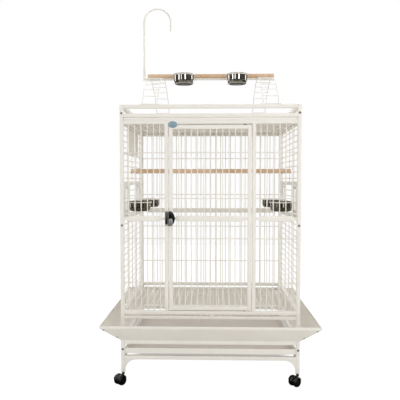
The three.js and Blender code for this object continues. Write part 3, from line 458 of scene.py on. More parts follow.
# Feeder panels: wires between the mid rail and the feeder rail, two framed openings with hinge wires, and a
# bent wire ring inside each opening that a cup hangs in by its rim.
CUP_RIM_R, CUP_BODY_R, CUP_HEIGHT = 62, 57, 54
FEEDER_LOW, FEEDER_HIGH, FEEDER_WIDTH = 867.3, 1020.7, 150
FEEDER_RIM, CUP_X = 937, INNER_X - CUP_RIM_R - 1
# A wire's radius with its running gap, the radius of a cup's ring, and how far it lies below the cup's rim
CLEAR = WIRE + GAP
RING_R, RING_DROP = CUP_BODY_R + 0.6 + CLEAR, 3 + CLEAR
FEEDERS = (("front", -227.0), ("back", 190.0))
HINGE_X, HINGE_AWAY = 451.5, 79.9
# Half the distance between the two arms of a ring
FEEDER_ARM = 26


def hoop(centre, radius):
    """Ring of round wire: a circle carried round a circle."""
    turn = 2 * math.pi * np.arange(40) / 40
    outward = np.stack([np.cos(turn), np.sin(turn), 0 * turn], 1)
    skin = (radius + ROUND[None, :, :1]) * outward[:, None] - ROUND[None, :, 1:] * np.array([0, 0, 1.0])
    return lofted(np.asarray(centre, float) + skin, closed=True)


feeder_levels = spread(FEEDER_LOW, FEEDER_HIGH)
# Half the distance between the two upright wires of an opening
jamb = FEEDER_WIDTH / 2 - 2 * CLEAR
for side, s in SIDES:
    x, level = s * RAIL_X, FEEDER_RIM - RING_DROP
    parts, ends = [], [-INNER_Y]
    for _, y in FEEDERS:
        parts += bars(ROUND, Z, FEEDER_LOW - 1, FEEDER_HIGH + 1,
                      [(s * (RAIL_X - STEP), y - jamb), (s * (RAIL_X - STEP), y + jamb)])
        ends += [y - jamb + CLEAR, y + jamb - CLEAR]
        parts += bars(circle(2), Z, FEEDER_LOW, FEEDER_HIGH, (s * HINGE_X, y + HINGE_AWAY), 0.5)
        parts += bars(ROUND, Y, y - jamb - CLEAR, y + jamb + CLEAR, (x, level))
        arm_x = s * (CUP_X + math.sqrt(RING_R ** 2 - FEEDER_ARM ** 2))
        parts += bars(ROUND, X, arm_x, x, [(y - FEEDER_ARM, level), (y + FEEDER_ARM, level)])
        parts.append(hoop((s * CUP_X, y, level), RING_R))
    ends.append(INNER_Y)
    for start, end in zip(ends[::2], ends[1::2]):
        parts += bars(ROUND, Y, start, end, [(x, z) for z in feeder_levels])
    piece(f"feeder_wires_{side}", parts, powder_coat, nodes=[f"feeder_panel_{side}"])


# Feeder and play cups: bowls pressed from stainless steel with a rim turned outward and rolled, then spun and
# polished, so they mirror the room in upright streaks, with faint rings about 1 mm apart. Both pairs of tones
# are drawn darker than bare steel, as painted shade in what they mirror. The feeder cups' pair is darker
# again, as painted shade for the cage round them, while the play cups stand free above the cage.
def polished(name, dark, light):
    """Spun and polished stainless steel as a material, between two tones."""
    material, tree, shader, at = surface(name, Metallic=1.0, Roughness=0.12)
    lines = add(tree, "ShaderNodeMapping", {}, {"Vector": at, "Scale": (1 / 0.05, 1 / 0.05, 1 / 0.001)})
    polish = add(tree, "ShaderNodeTexNoise", {}, {"Vector": (lines, "Vector"), "Scale": 1.0, "Detail": 2.0})
    worn = add(tree, "ShaderNodeMapRange", {}, {"Value": (polish, "Fac"), "To Min": 0.03, "To Max": 0.14})
    cast = add(tree, "ShaderNodeMix", {"data_type": "RGBA"},
               {0: (polish, "Fac"), 6: linear(dark), 7: linear(light)})
    rings = add(tree, "ShaderNodeBump", {},
                {"Strength": 0.05, "Distance": 0.0002, "Height": (polish, "Fac")})
    join(tree, shader,
         {"Base Color": (cast, 2), "Roughness": (worn, "Result"), "Normal": (rings, "Normal")})
    return material


# Two copies of one steel: the feeder cups' tones are painted darker as shade, the play cups' are the lit copy
shaded_stainless = polished("shaded_stainless", "#5c5951", "#7b776c")
bright_stainless = polished("bright_stainless", "#88857d", "#b5b2ab")


def bowl():
    """Cup profile: a flat base, a quarter ellipse, a wall whose radius falls short of the full one by the
    square of the depth below 24 mm, the rolled rim, and back down the inside one sheet thickness in."""
    bend = np.linspace(0, math.pi / 2, 8)
    corner = np.stack([42 + 11 * np.sin(bend), 8 - 7.6 * np.cos(bend)], 1)
    height = np.append(np.linspace(10, 24, 6), CUP_HEIGHT - 4)
    wall = np.stack([CUP_BODY_R - 8 * np.clip(1 - height / 24, 0, 1) ** 2, height], 1)
    outer = np.concatenate([corner, wall])
    inner = (outer * (1, (CUP_HEIGHT - 5.2) / (CUP_HEIGHT - 4)) + (-1.2, 1.2))[::-1]
    roll = np.linspace(-0.5, 0.75, 8) * math.pi
    rim = np.stack([CUP_RIM_R - 1.5 + 1.5 * np.cos(roll), CUP_HEIGHT - 1.5 + 1.5 * np.sin(roll)], 1)
    shoulder = [(CUP_BODY_R - 0.6, CUP_HEIGHT - 0.8), (CUP_BODY_R - 1.2, CUP_HEIGHT - 2.2)]
    base, floor = [(0.1, 1.0), (30, 0.8), (34, 0)], [(30, 2.0), (0.1, 2.2)]
    return np.concatenate([base, outer, rim, shoulder, inner, floor])


for side, s in SIDES:
    for end, y in FEEDERS:
        cup = turned(bowl(), 48, centre=(s * CUP_X, y, FEEDER_RIM - CUP_HEIGHT))
        piece(f"feeder_bowl_{side}_{end}", [cup], shaded_stainless, f"feeder_cup_{side}_{end}",
              [f"feeder_cup_{side}_{end}"])

# Feeder doors: frames of 18 mm steel strip with narrow bars, outside the openings, with rolled knuckles on
# the hinge wire at the back edge and a turn latch at the front edge.
STRIP, PLATE, KNUCKLE = 18, 1.8, 14


def knuckle(centre, inside, outside):
    """Rolled knuckle: a thick ring turned about the hinge wire."""
    h = KNUCKLE / 2
    profile = np.array([(inside, -h), (outside - 0.4, -h), (outside, 0.4 - h), (outside, h - 0.4),
                        (outside - 0.4, h), (inside, h)])
    turn = 2 * math.pi * np.arange(20) / 20
    wheel = np.stack([np.cos(turn), np.sin(turn), 0 * turn], 1)
    rings = profile[:, None, :1] * wheel + profile[:, None, 1:] * np.array([0, 0, 1.0])
    return lofted(rings + np.asarray(centre, float), closed=True)


LATCH_DOME = np.array([(0.1, 0), (5, 0), (5, 2), (4, 3.2), (0.1, 3.8)])
low, high = FEEDER_LOW + 3, FEEDER_HIGH - 3
middle = (low + high) / 2
hinge_levels = [(feeder_levels[0] + feeder_levels[1]) / 2, (feeder_levels[-2] + feeder_levels[-1]) / 2]
for side, s in SIDES:
    x = s * HINGE_X
    for end, y in FEEDERS:
        front, back, hinge = y - FEEDER_WIDTH / 2, y + FEEDER_WIDTH / 2, y + HINGE_AWAY
        edges = (front + STRIP / 2, back - STRIP / 2)
        parts = bars(rounded(PLATE, STRIP, 0.7), Z, low, high, [(x, edge) for edge in edges], 0.5)
        rows = [(x, low + STRIP / 2), (x, high - STRIP / 2)]
        parts += bars(rounded(STRIP, PLATE, 0.7), Y, edges[0] + 8.6, edges[1] - 8.6, rows)
        slats = [(x, slat) for slat in spread(front + STRIP, back - STRIP)]
        parts += bars(rounded(PLATE, 5, 0.7), Z, low + STRIP - 1, high - STRIP + 1, slats)
        for z in hinge_levels:
            parts.append(knuckle((x, hinge, z), 2.8, 4.6))
            parts += bars(rounded(KNUCKLE, PLATE, 0.6), Y, back - 2, hinge - 3.4, (x, z))
        # Turn latch: a domed pin through the strip with a flat finger outside
        points, groups = turned(LATCH_DOME if s > 0 else LATCH_DOME[::-1] * (1, -1), 20, X)
        parts.append((points + (x + s * 0.8, edges[0], middle), groups))
        parts += bars(rounded(1.6, 8, 0.6), Z, middle - 16, middle + 5, (x + s * 1.7, edges[0]), 0.5)
        piece(f"feeder_flap_{side}_{end}", parts, powder_coat, f"feeder_door_{side}_{end}",
              [f"feeder_door_{side}_{end}"])

# Nest box door: a shallow pan folded from sheet steel. It hangs by two rolled knuckles on the wire at the
# back edge of its opening.
FLAP_LOW, FLAP_HIGH = (-158.2, 1196.8), (157.3, 1329)
beside = [z for z in upper_levels if z > NEST_BOTTOM]
parts = [pan(X, (-RAIL_X - 5, *FLAP_LOW), (-RAIL_X + 1, *FLAP_HIGH), sheet=1.5, corner=3)]
for a, b in ((0, 1), (-2, -1)):
    z = (beside[a] + beside[b]) / 2
    parts.append(knuckle((-RAIL_X, NEST_HALF, z), 3.4, 5.4))
    parts += bars(rounded(KNUCKLE, 1.6, 0.5), Y, 155, NEST_HALF, (-RAIL_X - 4.6, z))
piece("nest_box_flap", parts, powder_coat, "nest_door", ["nest_door"])

# Front meshes and back panel: upright wires butted between the rails and through the mid rail, with four
# level wires welded on their inner side.
FROM_RAIL, FROM_MID = 144, 88
LEVELS = (HEADER - FROM_RAIL, MID_RAIL + MID_HEIGHT + FROM_MID, MID_RAIL - FROM_MID,
          BOTTOM_RAIL + TUBE + FROM_RAIL)


def panel(x0, x1, y, low, high):
    """Wires between two uprights: upright ones at the pitch, and level ones one wire step further in."""
    inner = y - math.copysign(STEP, y)
    parts = [mid_rail((x0, y, MID_LEVEL), (x1, y, MID_LEVEL))]
    parts += bars(ROUND, Z, low, high, [(x, y) for x in spread(x0, x1)])
    parts += bars(ROUND, X, x0, x1, [(inner, z) for z in LEVELS])
    return parts


low, high = BOTTOM_RAIL + TUBE - BITE, HEADER + BITE
x0, x1 = DOOR_OPENING / 2 + TUBE - GAP, INNER_X + GAP
piece("front_wires_left", panel(-x1, -x0, -RAIL_Y, low, high), powder_coat, nodes=["front_mesh_left"])
piece("front_wires_right", panel(x0, x1, -RAIL_Y, low, high), powder_coat, nodes=["front_mesh_right"])
parts = bars(SQUARE, X, -CROSS, CROSS, [(RAIL_Y, z) for z in rail_z], SAWN)
parts += panel(-x1, x1, RAIL_Y, low, high)
piece("back_wires", parts, powder_coat, nodes=["back_panel"])

# Front door: a welded tube frame with its own mesh and mid rail, hung on two round pivot pins that are set in
# from its right edge. The bushings round the pins come with the fasteners.
DOOR_HALF, DOOR_LOW, DOOR_HIGH = 208.5, 384.5, 1324.5
PIVOT_X, PIVOT_R = 175.5, 4
inside = DOOR_HALF - TUBE
stiles = [(s * (DOOR_HALF - HALF_TUBE), -RAIL_Y) for s in (-1, 1)]
rows = (DOOR_LOW + HALF_TUBE, DOOR_HIGH - HALF_TUBE)
parts = bars(SQUARE, Z, DOOR_LOW, DOOR_HIGH, stiles, 1)
parts += bars(SQUARE, X, -inside - 1, inside + 1, [(-RAIL_Y, z) for z in rows])
parts += beads([(s * inside, -RAIL_Y, z) for s in (-1, 1) for z in rows], X, radius=1.2)
parts += panel(-inside - 0.6, inside + 0.6, -RAIL_Y, DOOR_LOW + TUBE - 0.8, DOOR_HIGH - TUBE + 0.8)
for low, high in ((BOTTOM_RAIL + TUBE - 10, DOOR_LOW + 2), (DOOR_HIGH - 2, HEADER + 10)):
    parts += bars(circle(PIVOT_R, 20), Z, low, high, (PIVOT_X, -RAIL_Y), 0.5)
piece("door_tubes", parts, powder_coat, "front_door", ["front_door"])

# Door lock: a moulded black case of D shape with a raised boss, a die-cast grey lever that turns in it, and a
# blackened steel strike on the door post, brown-grey over its upper half and pale at its foot.
LOCK_X, LOCK_Z, LOCK_FACE = -211.0, 816.0, -HALF_DEPTH - GAP
LOCK_W, LOCK_H = 33.0, 75.0
LEVER_X, LEVER_Z = LOCK_X + LOCK_W / 2, LOCK_Z + 31


def slab(outline, levels, centre):
    """Moulded block: an outline in X and Z, scaled about a centre by a share for each depth from the face."""
    outline, centre = np.asarray(outline, float), np.asarray(centre, float)
    return lofted([np.insert(centre + (outline - centre) * share, 1, LOCK_FACE - depth, axis=1)
                   for depth, share in levels])


# The right side of the D bulges between an ellipse and a point
turn = np.linspace(-math.pi / 2, math.pi / 2, 25)
bulge = np.stack([LOCK_X + 8 + (LOCK_W - 8) * np.cos(turn) ** 1.15,
                  LOCK_Z + LOCK_H / 2 + LOCK_H / 2 * np.sin(turn)], 1)
case = np.concatenate([bulge, [[LOCK_X + 1.4, LOCK_Z + LOCK_H - 1], [LOCK_X + 1.4, LOCK_Z + 1]]])
levels = [(0, 1), (11, 1), (15, 0.95), (18, 0.86), (19.6, 0.72), (20, 0.6)]
boss = [(0.1, -1.8), (6.5, -1.8), (7.5, -1), (8, 1), (0.1, 1)]
parts = [slab(case, levels, (LEVER_X - 3, LOCK_Z + LOCK_H / 2))]
parts.append(turned(boss, 28, Y, (LEVER_X, LOCK_FACE - 18, LEVER_Z + 24)))
piece("lock_body", parts, black_nylon, "front_door", ["lock_case"])

# Die-cast zinc, tumbled: a grey metal with a mottle about 3 mm across, satin where it is handled
die_cast, tree, shader, at = surface("die_cast_zinc", Metallic=0.5)
mottle = add(tree, "ShaderNodeTexNoise", {}, {"Vector": at, "Scale": 1 / 0.003, "Detail": 3.0})
tint = add(tree, "ShaderNodeMix", {"data_type": "RGBA"},
           {0: (mottle, "Fac"), 6: linear("#74777b"), 7: linear("#9fa1a4")})
satin = add(tree, "ShaderNodeMapRange", {}, {"Value": (mottle, "Fac"), "To Min": 0.28, "To Max": 0.45})
join(tree, shader, {"Base Color": (tint, 2), "Roughness": (satin, "Result")})
turn = np.linspace(0, math.pi, 15)
head = np.stack([-2.5 + 9.5 * np.cos(turn), 8 * np.sin(turn)], 1)
foot = [(-13, -14), (-11, -25), (-5, -30.5), (2, -29.4), (5, -24), (6.6, -14)]
lever = np.concatenate([head, foot]) + (LEVER_X, LEVER_Z)
levels = [(20.3, 0.96), (20.8, 1), (24, 1), (25.3, 0.84)]
piece("lock_handle", [slab(lever, levels, (LEVER_X, LEVER_Z - 12))], die_cast, "lock_lever", ["lock_lever"])

# Blackened steel: matt black, turning brown-grey towards its top and pale at its foot, by height
STRIKE_X, STRIKE_Z, STRIKE_HALF = -220.5, 853.5, 36
blackened, tree, shader, at = surface("blackened_steel", Roughness=0.6, Specular_IOR_Level=0.3)
height = add(tree, "ShaderNodeSeparateXYZ", {}, {"Vector": at})
level = add(tree, "ShaderNodeMapRange", {}, {
    "Value": (height, "Z"),
    "From Min": (STRIKE_Z - STRIKE_HALF) * MM,
    "From Max": (STRIKE_Z + STRIKE_HALF) * MM,
})
height_tone = add(tree, "ShaderNodeValToRGB", {}, {"Fac": (level, "Result")})
height_tone.color_ramp.elements[0].color = linear("#b3ada0")
height_tone.color_ramp.elements[1].color = linear("#8d877b")
SHADES = ((0.1, "#a8a294"), (0.14, "#0b0c0b"), (0.42, "#0f100e"), (0.6, "#4a463e"), (0.93, "#5e594f"))
for stop, code in SHADES:
    height_tone.color_ramp.elements.new(stop).color = linear(code)
join(tree, shader, {"Base Color": (height_tone, "Color")})
plate = rounded(11.4, 2 * STRIKE_HALF, 2.5) + (STRIKE_X - 0.8, STRIKE_Z)
parts = [slab(plate, [(0, 1), (8.5, 1), (11, 0.92), (12, 0.8)], (STRIKE_X, STRIKE_Z))]
piece("strike_block", parts, blackened, nodes=["lock_strike"])

# Oval plate: a plain domed plate of blue-green enamel on steel, riveted to the top of the door beside its
# left stile. The enamel is glossy and slightly clouded, in patches about 9 mm across.
OVAL_X, OVAL_Z = -188.5, 1327
enamel, tree, shader, at = surface("blue_green_enamel", Roughness=0.3, IOR=1.5, Coat_Weight=0.4,
                                   Coat_Roughness=0.1)
cloud = add(tree, "ShaderNodeTexNoise", {}, {"Vector": at, "Scale": 1 / 0.009, "Detail": 2.0})
glaze = add(tree, "ShaderNodeMix", {"data_type": "RGBA"},
            {0: (cloud, "Fac"), 6: linear("#55807f"), 7: linear("#a6b4c6")})
pitted = add(tree, "ShaderNodeMapRange", {}, {"Value": (cloud, "Fac"), "To Min": 0.22, "To Max": 0.38})
join(tree, shader, {"Base Color": (glaze, 2), "Roughness": (pitted, "Result")})
turn = 2 * math.pi * np.arange(40) / 40
oval = np.stack([OVAL_X + 23.5 * np.cos(turn), OVAL_Z + 17 * np.sin(turn)], 1)
dome = [(0, 1), (1.2, 1), (1.8, 0.96), (2.2, 0.88), (2.9, 0.5), (3.1, 0.1)]
piece("oval_plate", [slab(oval, dome, (OVAL_X, OVAL_Z))], enamel, "front_door")

# Roof mesh: 5 mm wires from front to back, welded on two cross wires. It lies level with the header rails,
# and its wires end on them.
roof_z = HEADER + HALF_TUBE
wires = [(x, roof_z) for x in spread(-INNER_X, INNER_X)]
parts = bars(ROUND, Y, -INNER_Y - GAP, INNER_Y + GAP, wires)
parts += bars(ROUND, X, -INNER_X - GAP, INNER_X + GAP, [(y, roof_z - STEP) for y in CROSS_WIRES])
piece("roof_wires", parts, powder_coat, nodes=["roof_mesh"])

# Play top tray: a shallow pan like the lower one, folded from the same sheet. It lies on the header rails
# and slides out below the rim rails.
TOP_BACK = 349.5
tray = pan(Z, (-SLIDE, -HALF_DEPTH + 1.5, HEADER + TUBE + GAP), (SLIDE, TOP_BACK, RIM_LOWER - 2.6), hem=5)
piece("top_tray_pan", [tray], powder_coat, "top_tray", ["top_tray"])

# Perches: pine dowels, turned and sanded but not varnished. The grain runs along them in lines about 3 mm
# apart, with soft darker patches a hand long, and a few thin dark flecks.
pine, tree, shader, at = surface("sanded_pine", Roughness=0.62, IOR=1.48, Specular_IOR_Level=0.3)
stretch = add(tree, "ShaderNodeMapping", {}, {"Vector": at, "Scale": (1 / 0.12, 1 / 0.006, 1 / 0.006)})
growth = add(tree, "ShaderNodeTexNoise", {},
             {"Vector": (stretch, "Vector"), "Scale": 1.0, "Detail": 5.0, "Roughness": 0.6})
early = add(tree, "ShaderNodeMix", {"data_type": "RGBA"},
            {0: (growth, "Fac"), 6: linear("#c8a37e"), 7: linear("#f2dcc4")})
patch = add(tree, "ShaderNodeTexNoise", {}, {"Vector": at, "Scale": 1 / 0.09, "Detail": 2.0})
amount = add(tree, "ShaderNodeMapRange", {},
             {"Value": (patch, "Fac"), "From Min": 0.42, "From Max": 0.7, "To Max": 0.5})
board = add(tree, "ShaderNodeMix", {"data_type": "RGBA", "blend_type": "MULTIPLY"},
            {0: (amount, "Result"), 6: (early, 2), 7: linear("#e6cdb2")})
pores = add(tree, "ShaderNodeBump", {}, {"Strength": 0.25, "Distance": 0.0004, "Height": (growth, "Fac")})
join(tree, shader, {"Base Color": (board, 2), "Normal": (pores, "Normal")})


def dowel(radius, half, y, z):
    """Dowel along X: circles whose radius eases over the last 2.5 mm by a quarter round."""
    ease = 2.5
    t = np.linspace(0, 1, 5) * math.pi / 2
    near = np.stack([-half + ease * (1 - np.sin(t)), radius - ease * (1 - np.cos(t))], 1)[::-1]
    profile = np.concatenate([near, (near * (-1, 1))[::-1]])
    ring = circle(1, 28)
    return lofted([np.stack([np.full(28, x), y + r * ring[:, 0], z + r * ring[:, 1]], 1) for x, r in profile])


DOWEL_R, DOWEL_HALF, DOWEL_Y, DOWEL_Z = 12, 444.2, -100, 1098
inner_perch = dowel(DOWEL_R, DOWEL_HALF, DOWEL_Y, DOWEL_Z)
piece("inner_perch_dowel", [inner_perch], pine, nodes=["inner_perch"])

# Play stand: a round tube across the ladders' tops, with two wire rings for the cups and an upright sleeve at
# its left end for the toy hook. The perch lies on the tube and the cups hang in the rings.
BAR_R, BAR_Z, BAR_HALF = 6.5, 1625.5, 361
PERCH_R, PERCH_HALF = 11.25, 360
PLAY_X, PLAY_Y, PLAY_RIM, PLAY_ARM = 148, -80, 1634.4, 14
HOOK_X, SLEEVE_FOOT, SLEEVE_TALL = -380.0, 1619, 74
parts = bars(circle(BAR_R, 24), X, HOOK_X + 2, BAR_HALF, (0, BAR_Z), 1)
level = PLAY_RIM - RING_DROP
arm_y = PLAY_Y + math.sqrt(RING_R ** 2 - PLAY_ARM ** 2)
for s in (-1, 1):
    x = s * PLAY_X
    parts.append(hoop((x, PLAY_Y, level), RING_R))
    parts += bars(ROUND, Y, arm_y, 0, [(x - PLAY_ARM, level), (x + PLAY_ARM, level)])
sleeve = [(0.1, 0), (5.6, 0), (6.5, 0.9), (6.5, SLEEVE_TALL - 0.6), (6, SLEEVE_TALL), (5.2, SLEEVE_TALL),
          (4.8, SLEEVE_TALL - 0.8), (4.8, 3), (0.1, 3)]
parts.append(turned(sleeve, 24, Z, (HOOK_X, 0, SLEEVE_FOOT)))
piece("stand_bar", parts, powder_coat, nodes=["play_stand"])
perch = dowel(PERCH_R, PERCH_HALF, 0, BAR_Z + BAR_R + GAP + PERCH_R)
piece("play_perch_dowel", [perch], pine, nodes=["play_perch"])
for side, s in SIDES:
    cup = turned(bowl(), 48, centre=(s * PLAY_X, PLAY_Y, PLAY_RIM - CUP_HEIGHT))
    piece(f"play_bowl_{side}", [cup], bright_stainless, f"play_cup_{side}", [f"play_cup_{side}"])


def swept(places, ring, normal):
    """Section carried along a smooth path: its first direction is square to the path and to a fixed normal,
    and its second is the normal with the path's share taken out."""
    places, normal = np.asarray(places, float), np.asarray(normal, float)
    along = np.gradient(places, axis=0)
    along /= np.linalg.norm(along, axis=1)[:, None]
    up = normal - (along @ normal)[:, None] * along
    up /= np.linalg.norm(up, axis=1)[:, None]
    out = np.cross(up, along)
    return lofted(places[:, None] + ring[None, :, :1] * out[:, None] + ring[None, :, 1:] * up[:, None])


# Toy hook: a 9 mm steel rod, powder coated, bent over in a half circle with a short drop. Its foot stands
# loose in the sleeve.
HOOK_R, HOOK_BEND, HOOK_RISE, BEND_Z = 4.5, 76, 75.5, 1947
tip_x = HOOK_X + 2 * HOOK_BEND
angles = np.linspace(math.pi, 0, 33)
arch = np.stack([HOOK_X + HOOK_BEND + HOOK_BEND * np.cos(angles), 0 * angles,
                 BEND_Z + HOOK_RISE * np.sin(angles)], 1)
shank = [[HOOK_X, 0, z] for z in (1622.3, 1623, 1785, 1935)]
drop = [[tip_x, 0, z] for z in (1935, 1915, 1898.5)]
rod = swept(np.concatenate([shank, arch, drop]), circle(HOOK_R, 20), (0, 1, 0))
tip = [(0.1, -2.2), (2.1, -1.8), (3.6, -1), (HOOK_R, 0), (4.4, 1), (0.1, 1)]
parts = [rod, turned(tip, 20, Z, (tip_x, 0, 1898.3))]
piece("toy_hook_rod", parts, powder_coat, "toy_hook", ["toy_hook"])

# Ladders: two wires of nearly 5 mm that rise side by side in an arc from a foot wire on the rim to the bar,
# with a rung of thinner wire every 57 mm.
FOOT_WIRE, LEG_WIRE, RUNG_WIRE, RUNG_PITCH = 2.5, 2.3, 1.7, 57
FOOT = np.array([RAIL_Y, POST_TOP + FOOT_WIRE + GAP])
HEAD = np.array([BAR_R + 0.5, BAR_Z])
# Half the angle of the arc, the middle of a ladder, and half the widths of the ladder and of its foot
ARC, LADDER_X, LADDER_HALF, FOOT_HALF = 0.47, 305, 39, 50.5
LEG_POINTS = 25
chord = HEAD - FOOT
arc_radius = np.linalg.norm(chord) / 2 / math.sin(ARC)
arc_length = 2 * ARC * arc_radius
start = math.atan2(chord[1], chord[0]) - ARC
rung_shares = np.arange(RUNG_PITCH, arc_length, RUNG_PITCH) / arc_length
for side, s in SIDES:
    for end, e in ENDS:
        middle = s * LADDER_X
        angle = start + 2 * ARC * np.append(rung_shares, np.linspace(0, 1, LEG_POINTS))
        y = e * (FOOT[0] + arc_radius * (np.sin(angle) - math.sin(start)))
        z = FOOT[1] - arc_radius * (np.cos(angle) - math.cos(start))
        parts = []
        for x in (middle - LADDER_HALF, middle + LADDER_HALF):
            path = np.stack([np.full(len(angle), x), y, z], 1)[-LEG_POINTS:]
            parts.append(swept(path, circle(LEG_WIRE), (1, 0, 0)))
        rungs = list(zip(y[:-LEG_POINTS], z[:-LEG_POINTS]))
        parts += bars(circle(RUNG_WIRE, 10), X, middle - LADDER_HALF, middle + LADDER_HALF, rungs)
        foot = (e * FOOT[0], FOOT[1])
        parts += bars(circle(FOOT_WIRE), X, middle - FOOT_HALF, middle + FOOT_HALF, foot, 0.8)
        piece(f"ladder_wires_{side}_{end}", parts, powder_coat, nodes=[f"ladder_{side}_{end}"])

# Fasteners: domed cap screws with a socket, through the posts and the skirt flanges, and the bushings round
# the door's pivot pins. All are black zinc plated, and dulled brown by handling in specks about 4 mm across.
black_zinc, tree, shader, at = surface("black_zinc", Metallic=0.6, Roughness=0.5)
dull = add(tree, "ShaderNodeTexNoise", {}, {"Vector": at, "Scale": 1 / 0.004, "Detail": 3.0})
tarnish = add(tree, "ShaderNodeMix", {"data_type": "RGBA"},
              {0: (dull, "Fac"), 6: linear("#6e675d"), 7: linear("#968f84")})
join(tree, shader, {"Base Color": (tarnish, 2)})


def screw(centre, outward, radius=4.6, height=3.0):
    """Domed screw head: radius times cos(0.72 t) against height times sin(t), turned about its axis, with a
    washer under it and a socket sunk in the top."""
    t = np.linspace(0, math.pi / 2, 7)
    dome = np.stack([radius * np.cos(t * 0.72), height * np.sin(t)], 1)[1:]
    washer = [(0.1, -0.3), (radius + 1.2, -0.3), (radius + 1.2, 0.5), (radius, 0.6)]
    socket = [(0.5 * radius, height), (0.48 * radius, height - 2), (0.1, height - 2)]
    points, groups = turned(np.concatenate([washer, dome, socket]), 24)
    out = np.asarray(outward, float) / np.linalg.norm(outward)
    across = np.cross(out, (0, 0, 1)) if abs(out[2]) < 0.9 else np.array([1.0, 0, 0])
    across /= np.linalg.norm(across)
    basis = np.stack([across, np.cross(out, across), out])
    return points @ basis + np.asarray(centre, float), groups


POST_SCREW_X, POST_SCREWS = 448, (1385, 818, 181)
heads = [screw((s * POST_SCREW_X, e * HALF_DEPTH, z), (0, e, 0))
         for s in (-1, 1) for e in (-1, 1) for z in POST_SCREWS]
slope = np.array([0, -SKIRT_RISE, -SKIRT_REACH]) / math.hypot(SKIRT_RISE, SKIRT_REACH)
corners = []
for s in (-1, 1):
    for outward in (24, 80):
        spot = (s * (HALF_WIDTH + outward - 8), -(HALF_DEPTH + outward), SKIRT_FOOT + 0.953 * outward)
        corners.append(screw(spot, slope, 3.6, 2.4))
heads += corners + placed(corners, 180)
piece("cap_screws", heads, black_zinc)
BUSH_IN, BUSH_OUT = PIVOT_R + 0.1, 6.5
bushings = []
for low, high in ((BOTTOM_RAIL + TUBE + GAP, DOOR_LOW - GAP), (DOOR_HIGH + GAP, HEADER - GAP)):
    ring = [(BUSH_IN, low), (BUSH_OUT, low), (BUSH_OUT, high), (BUSH_IN, high), (BUSH_IN, low)]
    bushings.append(turned(ring, 24, Z, (PIVOT_X, -RAIL_Y, 0)))
piece("pivot_bushings", bushings, black_zinc, "front_door")

# Floor: a pale sweep of studio paper. The camera sees it almost evenly white, but for a soft shadow painted
# into its glow under the cage and behind it, where the front lamps would throw one. Polished steel sees it
# dark, as a painted dark reflection, but for the ground behind the cage, which glows as painted light and
# lights the cage from behind.
FLOOR = 5
floor = bpy.data.meshes.new("floor")
floor.from_pydata([(-FLOOR, -FLOOR, 0), (FLOOR, -FLOOR, 0), (FLOOR, FLOOR, 0), (-FLOOR, FLOOR, 0)], [],
                  [(0, 1, 2, 3)])
paper, tree, shader, at = surface("studio_paper", Roughness=0.9, Specular_IOR_Level=0.0)
ray = add(tree, "ShaderNodeLightPath", {}, {})
spot = add(tree, "ShaderNodeSeparateXYZ", {}, {"Vector": at})
# The shadow ends 0.38 to 0.47 m to each side of the middle, and 0.27 m further out with each metre back
aside = add(tree, "ShaderNodeMath", {"operation": "ABSOLUTE"}, {0: (spot, "X")})
widening = add(tree, "ShaderNodeMath", {"operation": "MULTIPLY_ADD"},
               {0: (spot, "Y"), 1: -0.27, 2: (aside, "Value")})
across = add(tree, "ShaderNodeMapRange", {"interpolation_type": "SMOOTHSTEP"},
             {"Value": (widening, "Value"), "From Min": 0.38, "From Max": 0.47, "To Min": 1.0, "To Max": 0.0})
near = add(tree, "ShaderNodeMapRange", {"interpolation_type": "SMOOTHSTEP"},
           {"Value": (spot, "Y"), "From Min": -0.03, "From Max": 0.06, "To Min": 0.0, "To Max": 0.55})
far = add(tree, "ShaderNodeMapRange", {"interpolation_type": "SMOOTHSTEP"},
          {"Value": (spot, "Y"), "From Min": 0.78, "From Max": 1.0, "To Min": 1.0, "To Max": 0.0})
band = add(tree, "ShaderNodeMath", {"operation": "MULTIPLY"}, {0: (near, "Result"), 1: (far, "Result")})
# Painted shadow: the share of the camera's white that the patch takes away
shadow = add(tree, "ShaderNodeMath", {"operation": "MULTIPLY"}, {0: (band, "Value"), 1: (across, "Result")})
lit = add(tree, "ShaderNodeMath", {"operation": "SUBTRACT"},
          {0: (ray, "Is Camera Ray"), 1: (shadow, "Value")})
lit.use_clamp = True
seen = add(tree, "ShaderNodeMix", {"data_type": "RGBA"},
           {0: (ray, "Is Camera Ray"), 6: linear("#f2f0ec"), 7: linear("#4e4e4e")})
# Painted reflection: to polished steel the floor is a dark brown
dim = add(tree, "ShaderNodeMix", {"data_type": "RGBA"},
          {0: (ray, "Is Glossy Ray"), 6: (seen, 2), 7: linear("#3c362e")})
# Painted light: behind the cage the floor glows for every ray but the camera's
glow = add(tree, "ShaderNodeMapRange", {},
           {"Value": (spot, "Y"), "From Min": 0.6, "From Max": 1.6, "To Max": 0.65})
unseen = add(tree, "ShaderNodeMath", {"operation": "SUBTRACT"}, {0: 1.0, 1: (ray, "Is Camera Ray")})
light = add(tree, "ShaderNodeMath", {"operation": "MULTIPLY_ADD"},
            {0: (unseen, "Value"), 1: (glow, "Result"), 2: (lit, "Value")})
join(tree, shader, {
    "Base Color": (dim, 2),
    "Emission Color": linear("#ffffff"),
    "Emission Strength": (light, "Value"),
})
floor.materials.append(paper)
sweep = bpy.data.objects.new("floor", floor)
bpy.context.scene.collection.objects.link(sweep)

